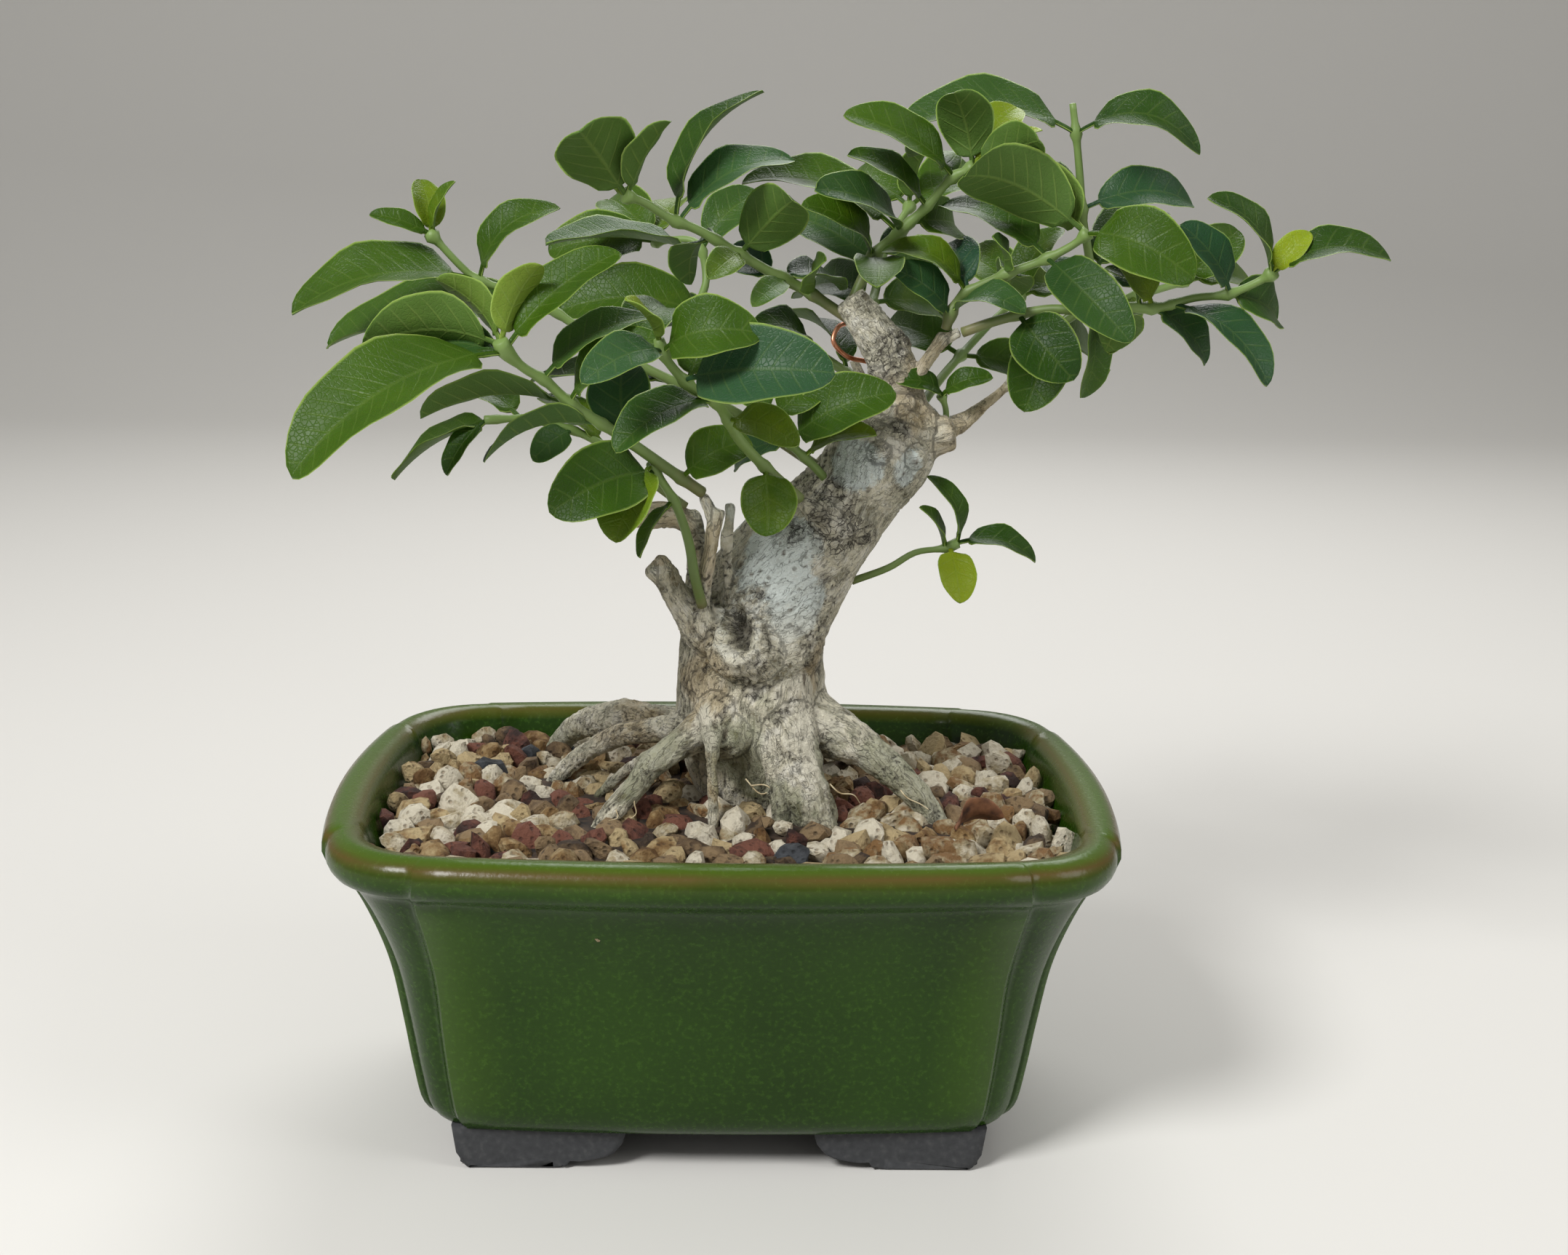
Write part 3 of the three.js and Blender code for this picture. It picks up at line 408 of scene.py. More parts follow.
def glazeMaterial():
    # copper green glaze over stoneware: deep green with fine pale specks, thin and pale on ridges,
    # burnt brown on the lip's edge, wet shine
    material, tree, shader, place = newMaterial("copper green glaze")
    thin, burnt = (addNode(tree, "Attribute", out="Fac", attribute_name=name)
                   for name in ("glazeThin", "glazeBurnt"))
    cloud = addNode(tree, "TexNoise", {"Vector": place, "Scale": perMillimetre(30), "Detail": 2})
    speck = addNode(tree, "TexNoise", {"Vector": place, "Scale": perMillimetre(0.9), "Detail": 4})
    colour = addNode(tree, "ValToRGB", {"Fac": cloud}, stops=[(0.3, pot["darkGlaze"]), (0.7, pot["midGlaze"])])
    specks = addNode(tree, "MapRange", {"Value": speck, "From Min": 0.5, "From Max": 0.72, "To Max": 0.4})
    colour = blend(tree, colour, pot["speck"], specks)
    colour = blend(tree, colour, pot["paleGlaze"], thin)
    patches = addNode(tree, "MapRange", {"Value": cloud, "From Min": 0.15, "From Max": 0.42})
    burn = addNode(tree, "Math", [burnt, patches], operation="MULTIPLY")
    colour = blend(tree, colour, pot["edgeBrown"], burn)
    # the glaze ends in a wandering line above the feet
    height = addNode(tree, "SeparateXYZ", [place], out=2)
    lowest = (pot["glazeLine"] - pot["glazeWander"] / 2) * metre
    wander = addNode(tree, "Math", [cloud, pot["glazeWander"] * metre, lowest], operation="MULTIPLY_ADD")
    bare = addNode(tree, "Math", [height, wander], operation="LESS_THAN")
    colour = blend(tree, colour, pot["clay"], bare)
    rough = addNode(tree, "MapRange", {"Value": speck, "To Min": 0.16, "To Max": 0.34})
    rough = addNode(tree, "Math", [bare, 0.6, rough], operation="MULTIPLY_ADD")
    bump = addNode(tree, "Bump", {"Height": speck, "Strength": 0.45, "Distance": 0.0001})
    setInputs(tree, shader, {"Base Color": colour, "Roughness": rough, "Normal": bump, "IOR": 1.5,
                             "Specular IOR Level": 0.26})
    return material


def addPot():
    outside = evenPoints(splinePoints(pot["outside"], 6), pot["outsideLevels"])
    inside = evenPoints(splinePoints(pot["inside"], 5), pot["insideLevels"])
    lipShare = smoothStep(pot["bodyTop"] - 3, pot["bodyTop"] + 2, outside[:, 0])[:, None]
    bow = pot["bodyBow"] + (pot["lipBow"] - pot["bodyBow"]) * lipShare
    outRings, mark = potRings(outside, bow, pot["crease"] - 0.5 * lipShare)
    inRings, _ = potRings(inside, np.full((len(inside), 1), pot["innerBow"]), pot["innerCrease"])
    rings = np.concatenate([outRings, inRings])
    points, quads, triangles = ringFaces(rings)
    height = rings[:, 0, 2]
    isInside = np.arange(len(rings)) >= len(outRings)
    lipTop = smoothStep(62.6, 64.6, height)
    edge = np.where(isInside, 0, np.exp(-(((height - 63.4) / 0.9) ** 2)))
    inner = np.where(isInside, np.exp(-(((height - 64.4) / 0.5) ** 2)), 0)
    body = np.where(isInside, 0, smoothStep(8, 16, height) * (1 - smoothStep(52, 58, height)))
    thin = np.maximum(lipTop[:, None] * 0.6, mark[None] * body[:, None] * 0.3)
    thin = np.maximum(thin, np.where(isInside, 0, smoothStep(58.5, 61.5, height) * 0.15)[:, None])
    burnt = np.broadcast_to(np.maximum(edge, inner * 0.7)[:, None], thin.shape)
    marks = {"glazeThin": np.concatenate([thin.ravel(), [0, 0]]),
             "glazeBurnt": np.concatenate([burnt.ravel(), [0, 0]])}
    glazed = addPiece("pot_glazed", points, [quads, triangles], [glazeMaterial()],
                      ["pot"], marks)
    for side in (-1, 1):
        drill = tube(np.array([[side * pot["holeSpacing"] / 2, 0, z, pot["holeDiameter"] / 2]
                               for z in (0, 8, 22)]), 32)
        cutter = addPiece("drill", drill[0], drill[1:], [])
        cut = glazed.modifiers.new("drainage hole", "BOOLEAN")
        cut.operation, cut.solver, cut.object = "DIFFERENCE", "EXACT", cutter
        applyModifiers(glazed)
        bpy.data.objects.remove(cutter)


def footShapes():
    # the outlines of a cloud-shaped foot's front leg and side leg: distance along it, height;
    # both legs have the same curls, nearer the middle on the side leg
    end, top, front = pot["footEnd"], pot["footHeight"], pot["footFront"]
    curl = [(31, 0), (29.4, 0.15), (28.3, 0.6), (27.6, 1.6), (25.4, 1.5), (23, 1.9), (21, 2.4), (19.4, 3.2),
            (18, 5)]
    frontLeg = [(end, top), (end - 0.8, 3), (end - 2.4, 0.5), (end - 3.4, 0), *curl, (17, top)]
    sideCurl = [(place - 7, height) for place, height in curl]
    sideLeg = [(front, top), (front - 0.6, 3), (front - 1.4, 0.5), (front - 2.2, 0), *sideCurl[:-1], (12, 5),
               (11, top)]
    return np.array(frontLeg), np.array(sideLeg)


def addFeet():
    # unglazed fired stoneware: matt grey-brown, gritty
    clay = plainMaterial("unglazed stoneware", 1.2, 6, [(0.3, "#303133"), (0.55, pot["clay"]), (0.85, "#4a4a4a")],
                         {"Roughness": 0.85}, 0.5)
    gathered = Gathered()
    for leg, outline in enumerate(footShapes()):
        outline = np.stack([np.interp(np.linspace(0, len(outline) - 1, 40), range(len(outline)), outline[:, k])
                            for k in range(2)], axis=1)
        middle = outline.mean(axis=0)
        outer = pot["footFront"] if leg == 0 else pot["footEnd"] - pot["footStep"]
        layers = []
        width = pot["footWidth"]
        for inset, out in ((3, 0), (0.5, 0), (0, 0.5), (0, width - 0.5), (0.5, width), (3, width)):
            shape = outline + (middle - outline) * inset / 22
            shape[:, 1] = np.where(outline[:, 1] < 0.3, outline[:, 1] + min(inset, 0.5), shape[:, 1])
            across = np.full(len(shape), outer - out)
            layers.append(np.stack([shape[:, 0], -across, shape[:, 1]] if leg == 0
                                   else [across, -shape[:, 0], shape[:, 1]], axis=1))
        points, quads, triangles = ringFaces(np.array(layers))
        for signX, signY in ((1, 1), (-1, 1), (1, -1), (-1, -1)):
            turned = points * [signX, signY, 1]
            flip = (signX * signY < 0) != (leg == 1)
            gathered.add(turned, quads[:, ::-1] if flip else quads, triangles[:, ::-1] if flip else triangles)
    points, faces, _ = gathered.arrays()
    addPiece("pot_feet", points, faces, [clay], ["pot"])


addPot()
addFeet()
print("pot done")


# pumice, fired clay and lava grains over dark soil
gravel = {
    "height": 59.0,
    "mound": 1.6,
    "moundPlace": (6, 2),
    "moundReach": 26,
    "edgeRise": 1.0,
    "slateShare": 0.022,
    "spacing": 5.5,
    "layers": (0.0, 3.0, 5.5),  # depth of each layer of grains under the top one
    "grain": (2.5, 4.9),  # smallest and largest half width
    "halfLength": 66.2,
    "halfDepth": 48.2,
    "corner": 18,
    # the soil under the grains, from the pot's floor up: height, half length, half depth and corner size
    "soil": [[14.9, 49.6, 34.2, 8.8], [24, 52.8, 37.2, 10.8], [46, 58, 42.2, 13.6], [56.6, 63.4, 45.6, 16],
             [58.4, 40, 28, 12], [60.2, 10, 8, 4]],
    # kind: share of the grains, dark, middle and pale colour, pitting
    "kinds": {
        "pumice": (0.4, "#82613a", "#ab9c7b", "#dcd3bd", 1.0),
        "ochre_pumice": (0.27, "#644623", "#8c7047", "#bba67c", 1.0),
        "fired_clay": (0.21, "#3b2d21", "#66523a", "#8e7757", 1.0),
        "red_lava": (0.11, "#2e1b15", "#532f25", "#774a3a", 1.0),
        "blue_slate": (0.014, "#18191b", "#2a2c2f", "#45484c", 0.5),
    },
}


def groundHeight(x, y):
    # the level, a bell-shaped mound round the trunk and a smooth rise towards both ends
    away = np.hypot(x - gravel["moundPlace"][0], y - gravel["moundPlace"][1]) / gravel["moundReach"]
    edge = gravel["edgeRise"] * smoothStep(44, 60, np.abs(x))
    return gravel["height"] + gravel["mound"] * np.exp(-(away**2)) + edge


def wallDistance(x, y):
    # distance inwards from the pot's inner wall at the gravel's height: the corner's radius less the
    # distance to the rectangle that carries it
    beyondX = np.abs(x) - (gravel["halfLength"] - gravel["corner"])
    beyondY = np.abs(y) - (gravel["halfDepth"] - gravel["corner"])
    outside = np.hypot(np.maximum(beyondX, 0), np.maximum(beyondY, 0))
    return gravel["corner"] - outside - np.minimum(np.maximum(beyondX, beyondY), 0)


def grainMaterial(kind):
    # sieved mineral grain: dusty, pitted with painted shade in the pits, stained in patches, no shine
    dark, middle, pale, pitting = gravel["kinds"][kind][1:]
    material, tree, shader, place = newMaterial(kind.replace("_", " ") + " grain")
    tone = addNode(tree, "Attribute", out="Fac", attribute_name="grainTone")
    stain = addNode(tree, "TexNoise", {"Vector": place, "Scale": perMillimetre(3.2), "Detail": 5})
    pits = addNode(tree, "TexNoise", {
        "Vector": place, "Scale": perMillimetre(1.1), "Detail": 6, "Roughness": 0.65})
    mixed = addNode(tree, "Math", [stain, 0.65], operation="MULTIPLY")
    for part, share in ((tone, 0.35), (pits, 0.3)):
        mixed = addNode(tree, "Math", [part, share, mixed], operation="MULTIPLY_ADD")
    colour = addNode(tree, "ValToRGB", {"Fac": mixed}, stops=[(0.46, dark), (0.56, middle), (0.7, pale)])
    cells = addNode(tree, "TexVoronoi", {"Vector": place, "Scale": perMillimetre(1.5)})
    pit = addNode(tree, "MapRange", {"Value": cells, "From Min": 0.34, "From Max": 0.12})
    height = addNode(tree, "Math", [pit, -0.5, pits], operation="MULTIPLY_ADD")
    bump = addNode(tree, "Bump", {"Height": height, "Strength": pitting, "Distance": 0.0012})
    # the pits take the dark colour at half strength: painted shade in the hollows
    setInputs(tree, shader, {"Base Color": blend(tree, colour, dark, pit, 0.5), "Normal": bump, "Roughness": 0.9})
    return material


def roundGrain():
    # a ball of 42 points and 80 triangles, the blank for every grain
    bpy.ops.mesh.primitive_ico_sphere_add(subdivisions=2, radius=1)
    ball = bpy.context.object
    points = np.array([corner.co for corner in ball.data.vertices])
    triangles = np.array([face.vertices for face in ball.data.polygons])
    bpy.data.objects.remove(ball)
    return points, triangles


def grains(random, ball, places, sizes):
    # each grain: the ball cut back by seven random planes, swollen by noise, squashed and turned
    count = len(places)
    planes = random.normal(size=(count, 7, 3))
    planes /= np.linalg.norm(planes, axis=2)[..., None]
    offsets = random.uniform(0.5, 0.95, size=(count, 1, 7))
    shape = np.broadcast_to(ball, (count, *ball.shape))
    along = np.einsum("gpk,gnk->gpn", shape, planes)
    shape = shape * np.minimum(1, (offsets / np.maximum(along, 1e-3)).min(axis=2))[..., None]
    lumps = layeredNoise((shape * 1.3 + random.uniform(0, 400, size=(count, 1, 3))).reshape(-1, 3), 0.8, 5, 2)
    shape = shape * (1.08 + 0.2 * lumps.reshape(count, -1, 1))
    shape = shape * random.uniform([0.85, 0.7, 0.55], [1.25, 1.05, 0.9], size=(count, 3))[:, None]
    turns = np.linalg.qr(random.normal(size=(count, 3, 3)))[0]
    turns *= np.sign(np.linalg.det(turns))[:, None, None]
    shape = np.einsum("gpk,gkl->gpl", shape, turns)
    return shape * sizes[:, None, None] + places[:, None]


def addGravel(woodCurves):
    random = np.random.default_rng(23)
    ball, triangles = roundGrain()
    step = gravel["spacing"]
    rows, columns = np.meshgrid(np.arange(-12, 13), np.arange(-14, 15), indexing="ij")
    x = ((columns + (rows % 2) / 2) * step).ravel()
    y = (rows * step * math.sqrt(0.75)).ravel()
    places, sizes = [], []
    for layer, drop in enumerate(gravel["layers"]):
        size = random.uniform(0, 1, len(x)) ** 1.6
        size = gravel["grain"][0] + (gravel["grain"][1] - gravel["grain"][0]) * size
        px = x + random.uniform(-1, 1, len(x)) + layer * step / 2
        py = y + random.uniform(-1, 1, len(x)) + layer * step / 3
        top = groundHeight(px, py) + 1.9 - drop + random.uniform(-0.9, 0.5, len(x))
        keep = wallDistance(px, py) > size * 0.85
        places.append(np.stack([px, py, top - size * 0.75], axis=1)[keep])
        sizes.append(size[keep])
    places, sizes = np.vstack(places), np.concatenate(sizes)
    wood = np.vstack(woodCurves)
    away = np.linalg.norm(places[:, None] - wood[None, :, :3], axis=2) - wood[None, :, 3]
    keep = away.min(axis=1) > sizes * 0.2
    places, sizes = places[keep], sizes[keep]
    patches = valueNoise(places * [1, 1, 0], 16, 3) * 0.22
    draw = np.clip(random.uniform(0, 1, len(places)) + patches - 0.0016 * places[:, 0], 0, 0.97)
    draw = np.where(random.uniform(0, 1, len(places)) < gravel["slateShare"], 0.999, draw)
    limits = np.cumsum([row[0] for row in gravel["kinds"].values()])
    kindIndex = np.searchsorted(limits / limits[-1], draw)
    shapes = grains(random, ball, places, sizes)
    tones = random.uniform(0, 1, len(places))
    for index, kind in enumerate(gravel["kinds"]):
        own = shapes[kindIndex == index]
        faces = (triangles[None] + np.arange(len(own))[:, None, None] * len(ball)).reshape(-1, 3)
        marks = {"grainTone": np.repeat(tones[kindIndex == index], len(ball))}
        piece = addPiece("gravel_" + kind, own.reshape(-1, 3), [faces], [grainMaterial(kind)], ["soil"],
                         marks)
        piece.data.set_sharp_from_angle(angle=math.radians(34))


def addSoil():
    levels = np.array(gravel["soil"])
    rings, _ = potRings(levels, np.full((len(levels), 1), pot["innerBow"]), pot["innerCrease"])
    points, quads, triangles = ringFaces(rings)
    # damp potting soil: dark, crumbly, matt
    soil = plainMaterial("damp potting soil", 2, 6, [(0.35, "#1c1612"), (0.65, "#4a3a2c")], {"Roughness": 0.95})
    addPiece("soil_fill", points, [quads, triangles], [soil], ["soil"])


# Trunk, surface roots, stubs and twigs are one piece of wood. Each row is x, y, z and radius of the
# wood at that place.
trunkAxis = [
    [7, 5, 46, 5], [7, 5, 53, 9.5], [6.5, 5, 61, 11.5], [6, 4.5, 68, 13.6], [5.8, 4, 75, 15.2], [5.6, 4, 82, 14.6],
    [5.8, 4, 89, 14], [7.4, 3.5, 96, 13.4], [11, 3, 103.5, 12.8], [15.5, 2.5, 110.5, 11.6], [20.5, 2, 117, 10.2],
    [25.5, 1, 123.5, 9.3], [29.6, 0.5, 129.5, 9.4], [31.6, 0, 134, 8], [32, 0, 137.5, 5.6], [31.4, 0, 142, 4.5],
    [29.9, 0, 146.5, 4.4], [26.2, 0, 152.2, 3.9], [23.8, 0, 155.4, 3.5], [22, 0, 157.6, 3],
]
roots = {
    "backLeft": [[0, 6, 71, 6.4], [-7, 8, 71.6, 4.4], [-14, 13, 71.6, 3.8], [-21, 20, 71, 3.6], [-28, 28, 67.6, 3.2],
        [-33, 34, 63.4, 2.8], [-38, 39, 56, 1.6]],
    "left": [[-2, 0, 73.6, 5.6], [-9, 0, 73.8, 3.2], [-16, 5, 72.4, 2.6], [-22, 10, 69.4, 2.3], [-28, 13, 65.4, 2.1],
        [-33, 15, 60.5, 1.8], [-37, 16, 56, 1]],
    "frontLeft": [[0, -4, 78, 6], [-5, -9, 76, 4], [-10, -11, 73, 2.9], [-14, -12, 70, 2.5], [-17.5, -13, 66, 2.4],
        [-21, -14, 62, 2.2], [-26, -15, 56, 1.3]],
    "side": [[-10, -9, 73, 2.2], [-15, -5, 69.5, 1.4], [-19, -1, 66, 1.2], [-23, 2, 61.5, 1.1], [-27, 4, 56, 0.7]],
    "prop": [[-1.5, -8, 80, 4.4], [-2.4, -13, 77.5, 2], [-2.4, -15.4, 72, 1.35], [-2.1, -15.8, 66, 1.25],
        [-2, -15.4, 60, 1.2], [-2, -15, 53, 0.8]],
    "knuckle": [[2, -3, 76, 8], [0.6, -9, 75, 5], [0.4, -12, 73, 2.4]],
    "front": [[8, 0, 80, 9.5], [11.5, -7, 74, 6.6], [14.2, -11, 68, 5.2], [17, -12.5, 62, 4.5], [19, -13, 56, 3.4],
        [20, -13, 53, 1.8]],
    "frontStrand": [[8.6, -5, 77, 5], [9.2, -11, 71.5, 2.6], [10.4, -13, 65, 2], [11, -13.4, 59, 1.6],
        [11.2, -13, 52, 0.9]],
    "right": [[12, 2, 78, 9], [19, -2, 75.5, 5.4], [25, -4, 73, 4.3], [31, -6, 69, 3.5], [36, -7, 64.5, 2.9],
        [41, -8, 59, 2.3], [44, -9, 55, 1.3]],
    "backRight": [[10, 7, 75, 7], [16, 14, 70.5, 4.8], [23, 20, 66, 3.8], [29, 26, 61.5, 2.8], [34, 31, 55, 1.6]],
    "back": [[7, 10, 77, 8], [9, 19, 72.5, 5.4], [12, 27, 67.5, 4], [14, 34, 62, 2.9], [15, 39, 55, 1.6]],
    "backLow": [[2, 9, 76, 7], [-3, 17, 71.5, 4.2], [-8, 25, 67, 3.2], [-11, 32, 62, 2.4], [-13, 36, 55, 1.3]],
}
oldWood = {
    "deadStub": [[0, -2, 92, 5.4], [-5.4, -6, 96.4, 3.7], [-8.6, -8, 101.5, 2.9], [-11.2, -9.6, 106.4, 2.6],
        [-12.6, -10.4, 110.4, 1.2]],
    "deadFork": [[-10.6, -9, 104.5, 2], [-14.4, -10.6, 108.2, 1.7]],
    "brownTwig": [[-2.6, -5, 95, 3.4], [-4.4, -9, 101.5, 1.7], [-4, -10.6, 106, 1.3], [-3, -11.6, 113, 1.2],
        [-2, -12.4, 119.6, 1.5]],
    "brownFork": [[-2.6, -12, 117.4, 1.2], [-4.6, -13, 122.4, 1.05]],
    "greyTwig": [[-3, -2, 94, 3.6], [-6, -4, 103, 2.1], [-6, -3, 111, 1.8], [-6.8, -2.6, 117.4, 1.5]],
    "greyKnob": [[-6.2, -3, 114.6, 1.8], [-10.6, -2, 116.6, 2.5], [-15, -2, 116.4, 2.6], [-18, -2, 115, 1.2]],
    "thinTwig": [[1.5, -4, 101, 2], [-0.2, -5.4, 109, 0.95], [0.5, -5.4, 119.4, 0.8]],
    "ridge": [[23, -2, 114.5, 5], [18.8, -7.6, 117, 2.6], [16, -10, 119.4, 1.9], [13.8, -11.2, 121.2, 1.5]],
    "upperTwig": [[31, 0, 139, 2.8], [33.4, -1.6, 142.2, 1.6], [35.6, -2, 144.8, 1.35], [38, -2.2, 148.4, 1.3],
        [40, -3, 151.4, 1.6]],
    "upperFork": [[39.4, -2.8, 150.4, 1.2], [42.4, -4, 152.2, 1.05]],
    "rightTwig": [[36, 1, 131, 4.4], [41.5, 2, 133.4, 2.5], [45.3, 3, 135.3, 1.7], [48, 3.5, 137.5, 1.15],
        [53, 5, 141.5, 0.98], [55.8, 6, 145.8, 0.95]],
    "stubEnd": [[34, 0, 131, 4.6], [42.2, -0.6, 133.2, 3.5]],
    "tanCut": [[33, 0, 133, 4.4], [37, 0, 138.2, 3.3]],
    "whiteCut": [[31.5, -2, 136, 3.4], [32.2, -6, 137.6, 1.9]],
    "knotRight": [[33.4, -3, 129, 4], [35.2, -8.4, 129.6, 2.1]],
    "knotLeft": [[28.5, -4, 130, 3.6], [27.8, -9.2, 130.4, 1.7]],
    "hiddenTwig": [[30, 2, 136, 2.6], [26, 6.6, 141, 1.2], [23.6, 8, 145.5, 1]],
    "callus": [[4, -6, 92, 7.5], [2, -10.6, 93.6, 6.2]],
}
bark = {
    "grain": 0.55,  # width of the mesh's squares
    "curveStep": 0.9,
    "trunkSides": 40,
    "branchSides": 14,
    "hollow": (2.6, -13, 96.4),
    "hollowSize": (2.6, 4.1),
    "hollowDepth": 4.2,
    "callusRise": 1.9,
    # centre and reach of each knot, sawn face and patch; the patches are on the front
    "knots": [[35.4, -10.2, 129.6, 2.4], [27.7, -10.6, 130.1, 2.1], [34.1, -5.4, 139.4, 1.6],
              [40.4, -4.2, 133.3, 2], [32.7, -6.8, 124.1, 1.3], [24.6, -8.3, 122.5, 1.3], [22, -8.4, 114.9, 1.5],
              [4.8, -11, 86.8, 1.6], [13.4, -8, 96, 1.1]],
    "cutFaces": [[32.4, -6.6, 137.6, 2.2], [37.6, 0, 138.8, 3.4], [43, -0.7, 133.6, 3.6], [-12.8, -10.6, 111, 2.8]],
    "paleSpots": [[8, -11, 107.5, 9], [13.5, -12, 100, 7], [14, -12, 91, 4.5], [14, -10, 84, 4],
                  [-3, -14, 78.5, 4], [15.6, -11, 77, 6], [17, -12, 71, 5], [-1, -15, 95, 3.5], [12, -8, 112, 6],
                  [25, -8, 129, 5.5], [33, -8, 126, 3.5]],
    "corkSpots": [[20, -9, 117, 6], [26, -9, 116, 4.2], [31, -6, 134, 2.5], [29, -4, 148, 6], [13, -6, 114, 3]],
    "roughSpots": [[4, -13, 102, 5.5], [5, -13, 88, 7], [7, -13, 94, 4], [1, -13, 84, 5], [10, -12, 80, 4]],
    "tanSpots": [[-6, -9, 86, 8], [19, -8, 90, 6], [-2.4, -15.4, 69, 5], [-5, -12, 110, 6], [37, -3, 143, 8],
                 [45, 3, 136, 9], [-19.8, 6, 74.8, 9], [-14, -3, 116, 7]],
    "stainSpots": [[3, -11, 71, 8], [-14, -12, 69, 9], [32, -6, 67, 9], [41, -8, 61, 8], [20, -11, 70, 5],
                   [9, -14, 63, 7], [7.5, -8, 66, 7]],
    # smooth bark from dull to bright, then what lies over it
    "dull": "#8d8569",
    "grey": "#bfbba6",
    "beige": "#e9e2c8",
    "bright": "#fcf7e6",
    "tan": "#ccb488",
    "cream": "#efe9d4",
    "pale": "#f6fffa",
    "stain": "#7f8860",
    "pore": "#6a5a45",
    "cork": "#b3ae9a",
    "shade": "#5f5744",
    "speck": "#4b4236",
    "swirl": "#39352a",
    # near-black in the cracks: the bark's dark fissures with painted shade in them
    "crackAndShade": "#2b241d",
    "dot": "#6f695b",
    # the hollow's inside: dark wood, darkened further as painted shade
    "inside": "#2c251d",
}


def woodCurves():
    # the trunk first, then every root and branch, each as even steps of x, y, z and radius
    curves = [evenPoints(splinePoints(trunkAxis, 8), 120)]
    for stations in (*roots.values(), *oldWood.values()):
        curve = splinePoints(stations, 10)
        curves.append(evenPoints(curve, max(8, int(stepLengths(curve).sum() / bark["curveStep"]))))
    return curves


def spotMask(points, spots):
    # 1 inside a patch, fading to 0 at its ragged edge
    mask = np.zeros(len(points))
    ragged = layeredNoise(points, 7, 41, 4) * 0.45
    for x, y, z, reach in spots:
        away = np.linalg.norm((points - [x, y, z]) * [1, 0.8, 0.85], axis=1) / reach
        mask = np.maximum(mask, 1 - smoothStep(0.7, 1.15, away + ragged))
    return mask


def grainPlaces(points, curves):
    # each point's place, squeezed along the nearest branch or root so that noise there makes streaks,
    # and that branch's radius
    centres = np.vstack(curves)
    along = np.vstack([np.gradient(curve[:, :3], axis=0) for curve in curves])
    along /= np.linalg.norm(along, axis=1)[:, None]
    starts = np.vstack([np.broadcast_to(curve[0, :3], (len(curve), 3)) for curve in curves])
    nearest = np.concatenate([
        (np.linalg.norm(chunk[:, None] - centres[None, :, :3], axis=2) - centres[None, :, 3]).argmin(axis=1)
        for chunk in np.array_split(points, len(points) // 4000 + 1)])
    direction = along[nearest]
    distance = ((points - starts[nearest]) * direction).sum(axis=1)
    return points - 0.8 * direction * distance[:, None], centres[nearest, 3]


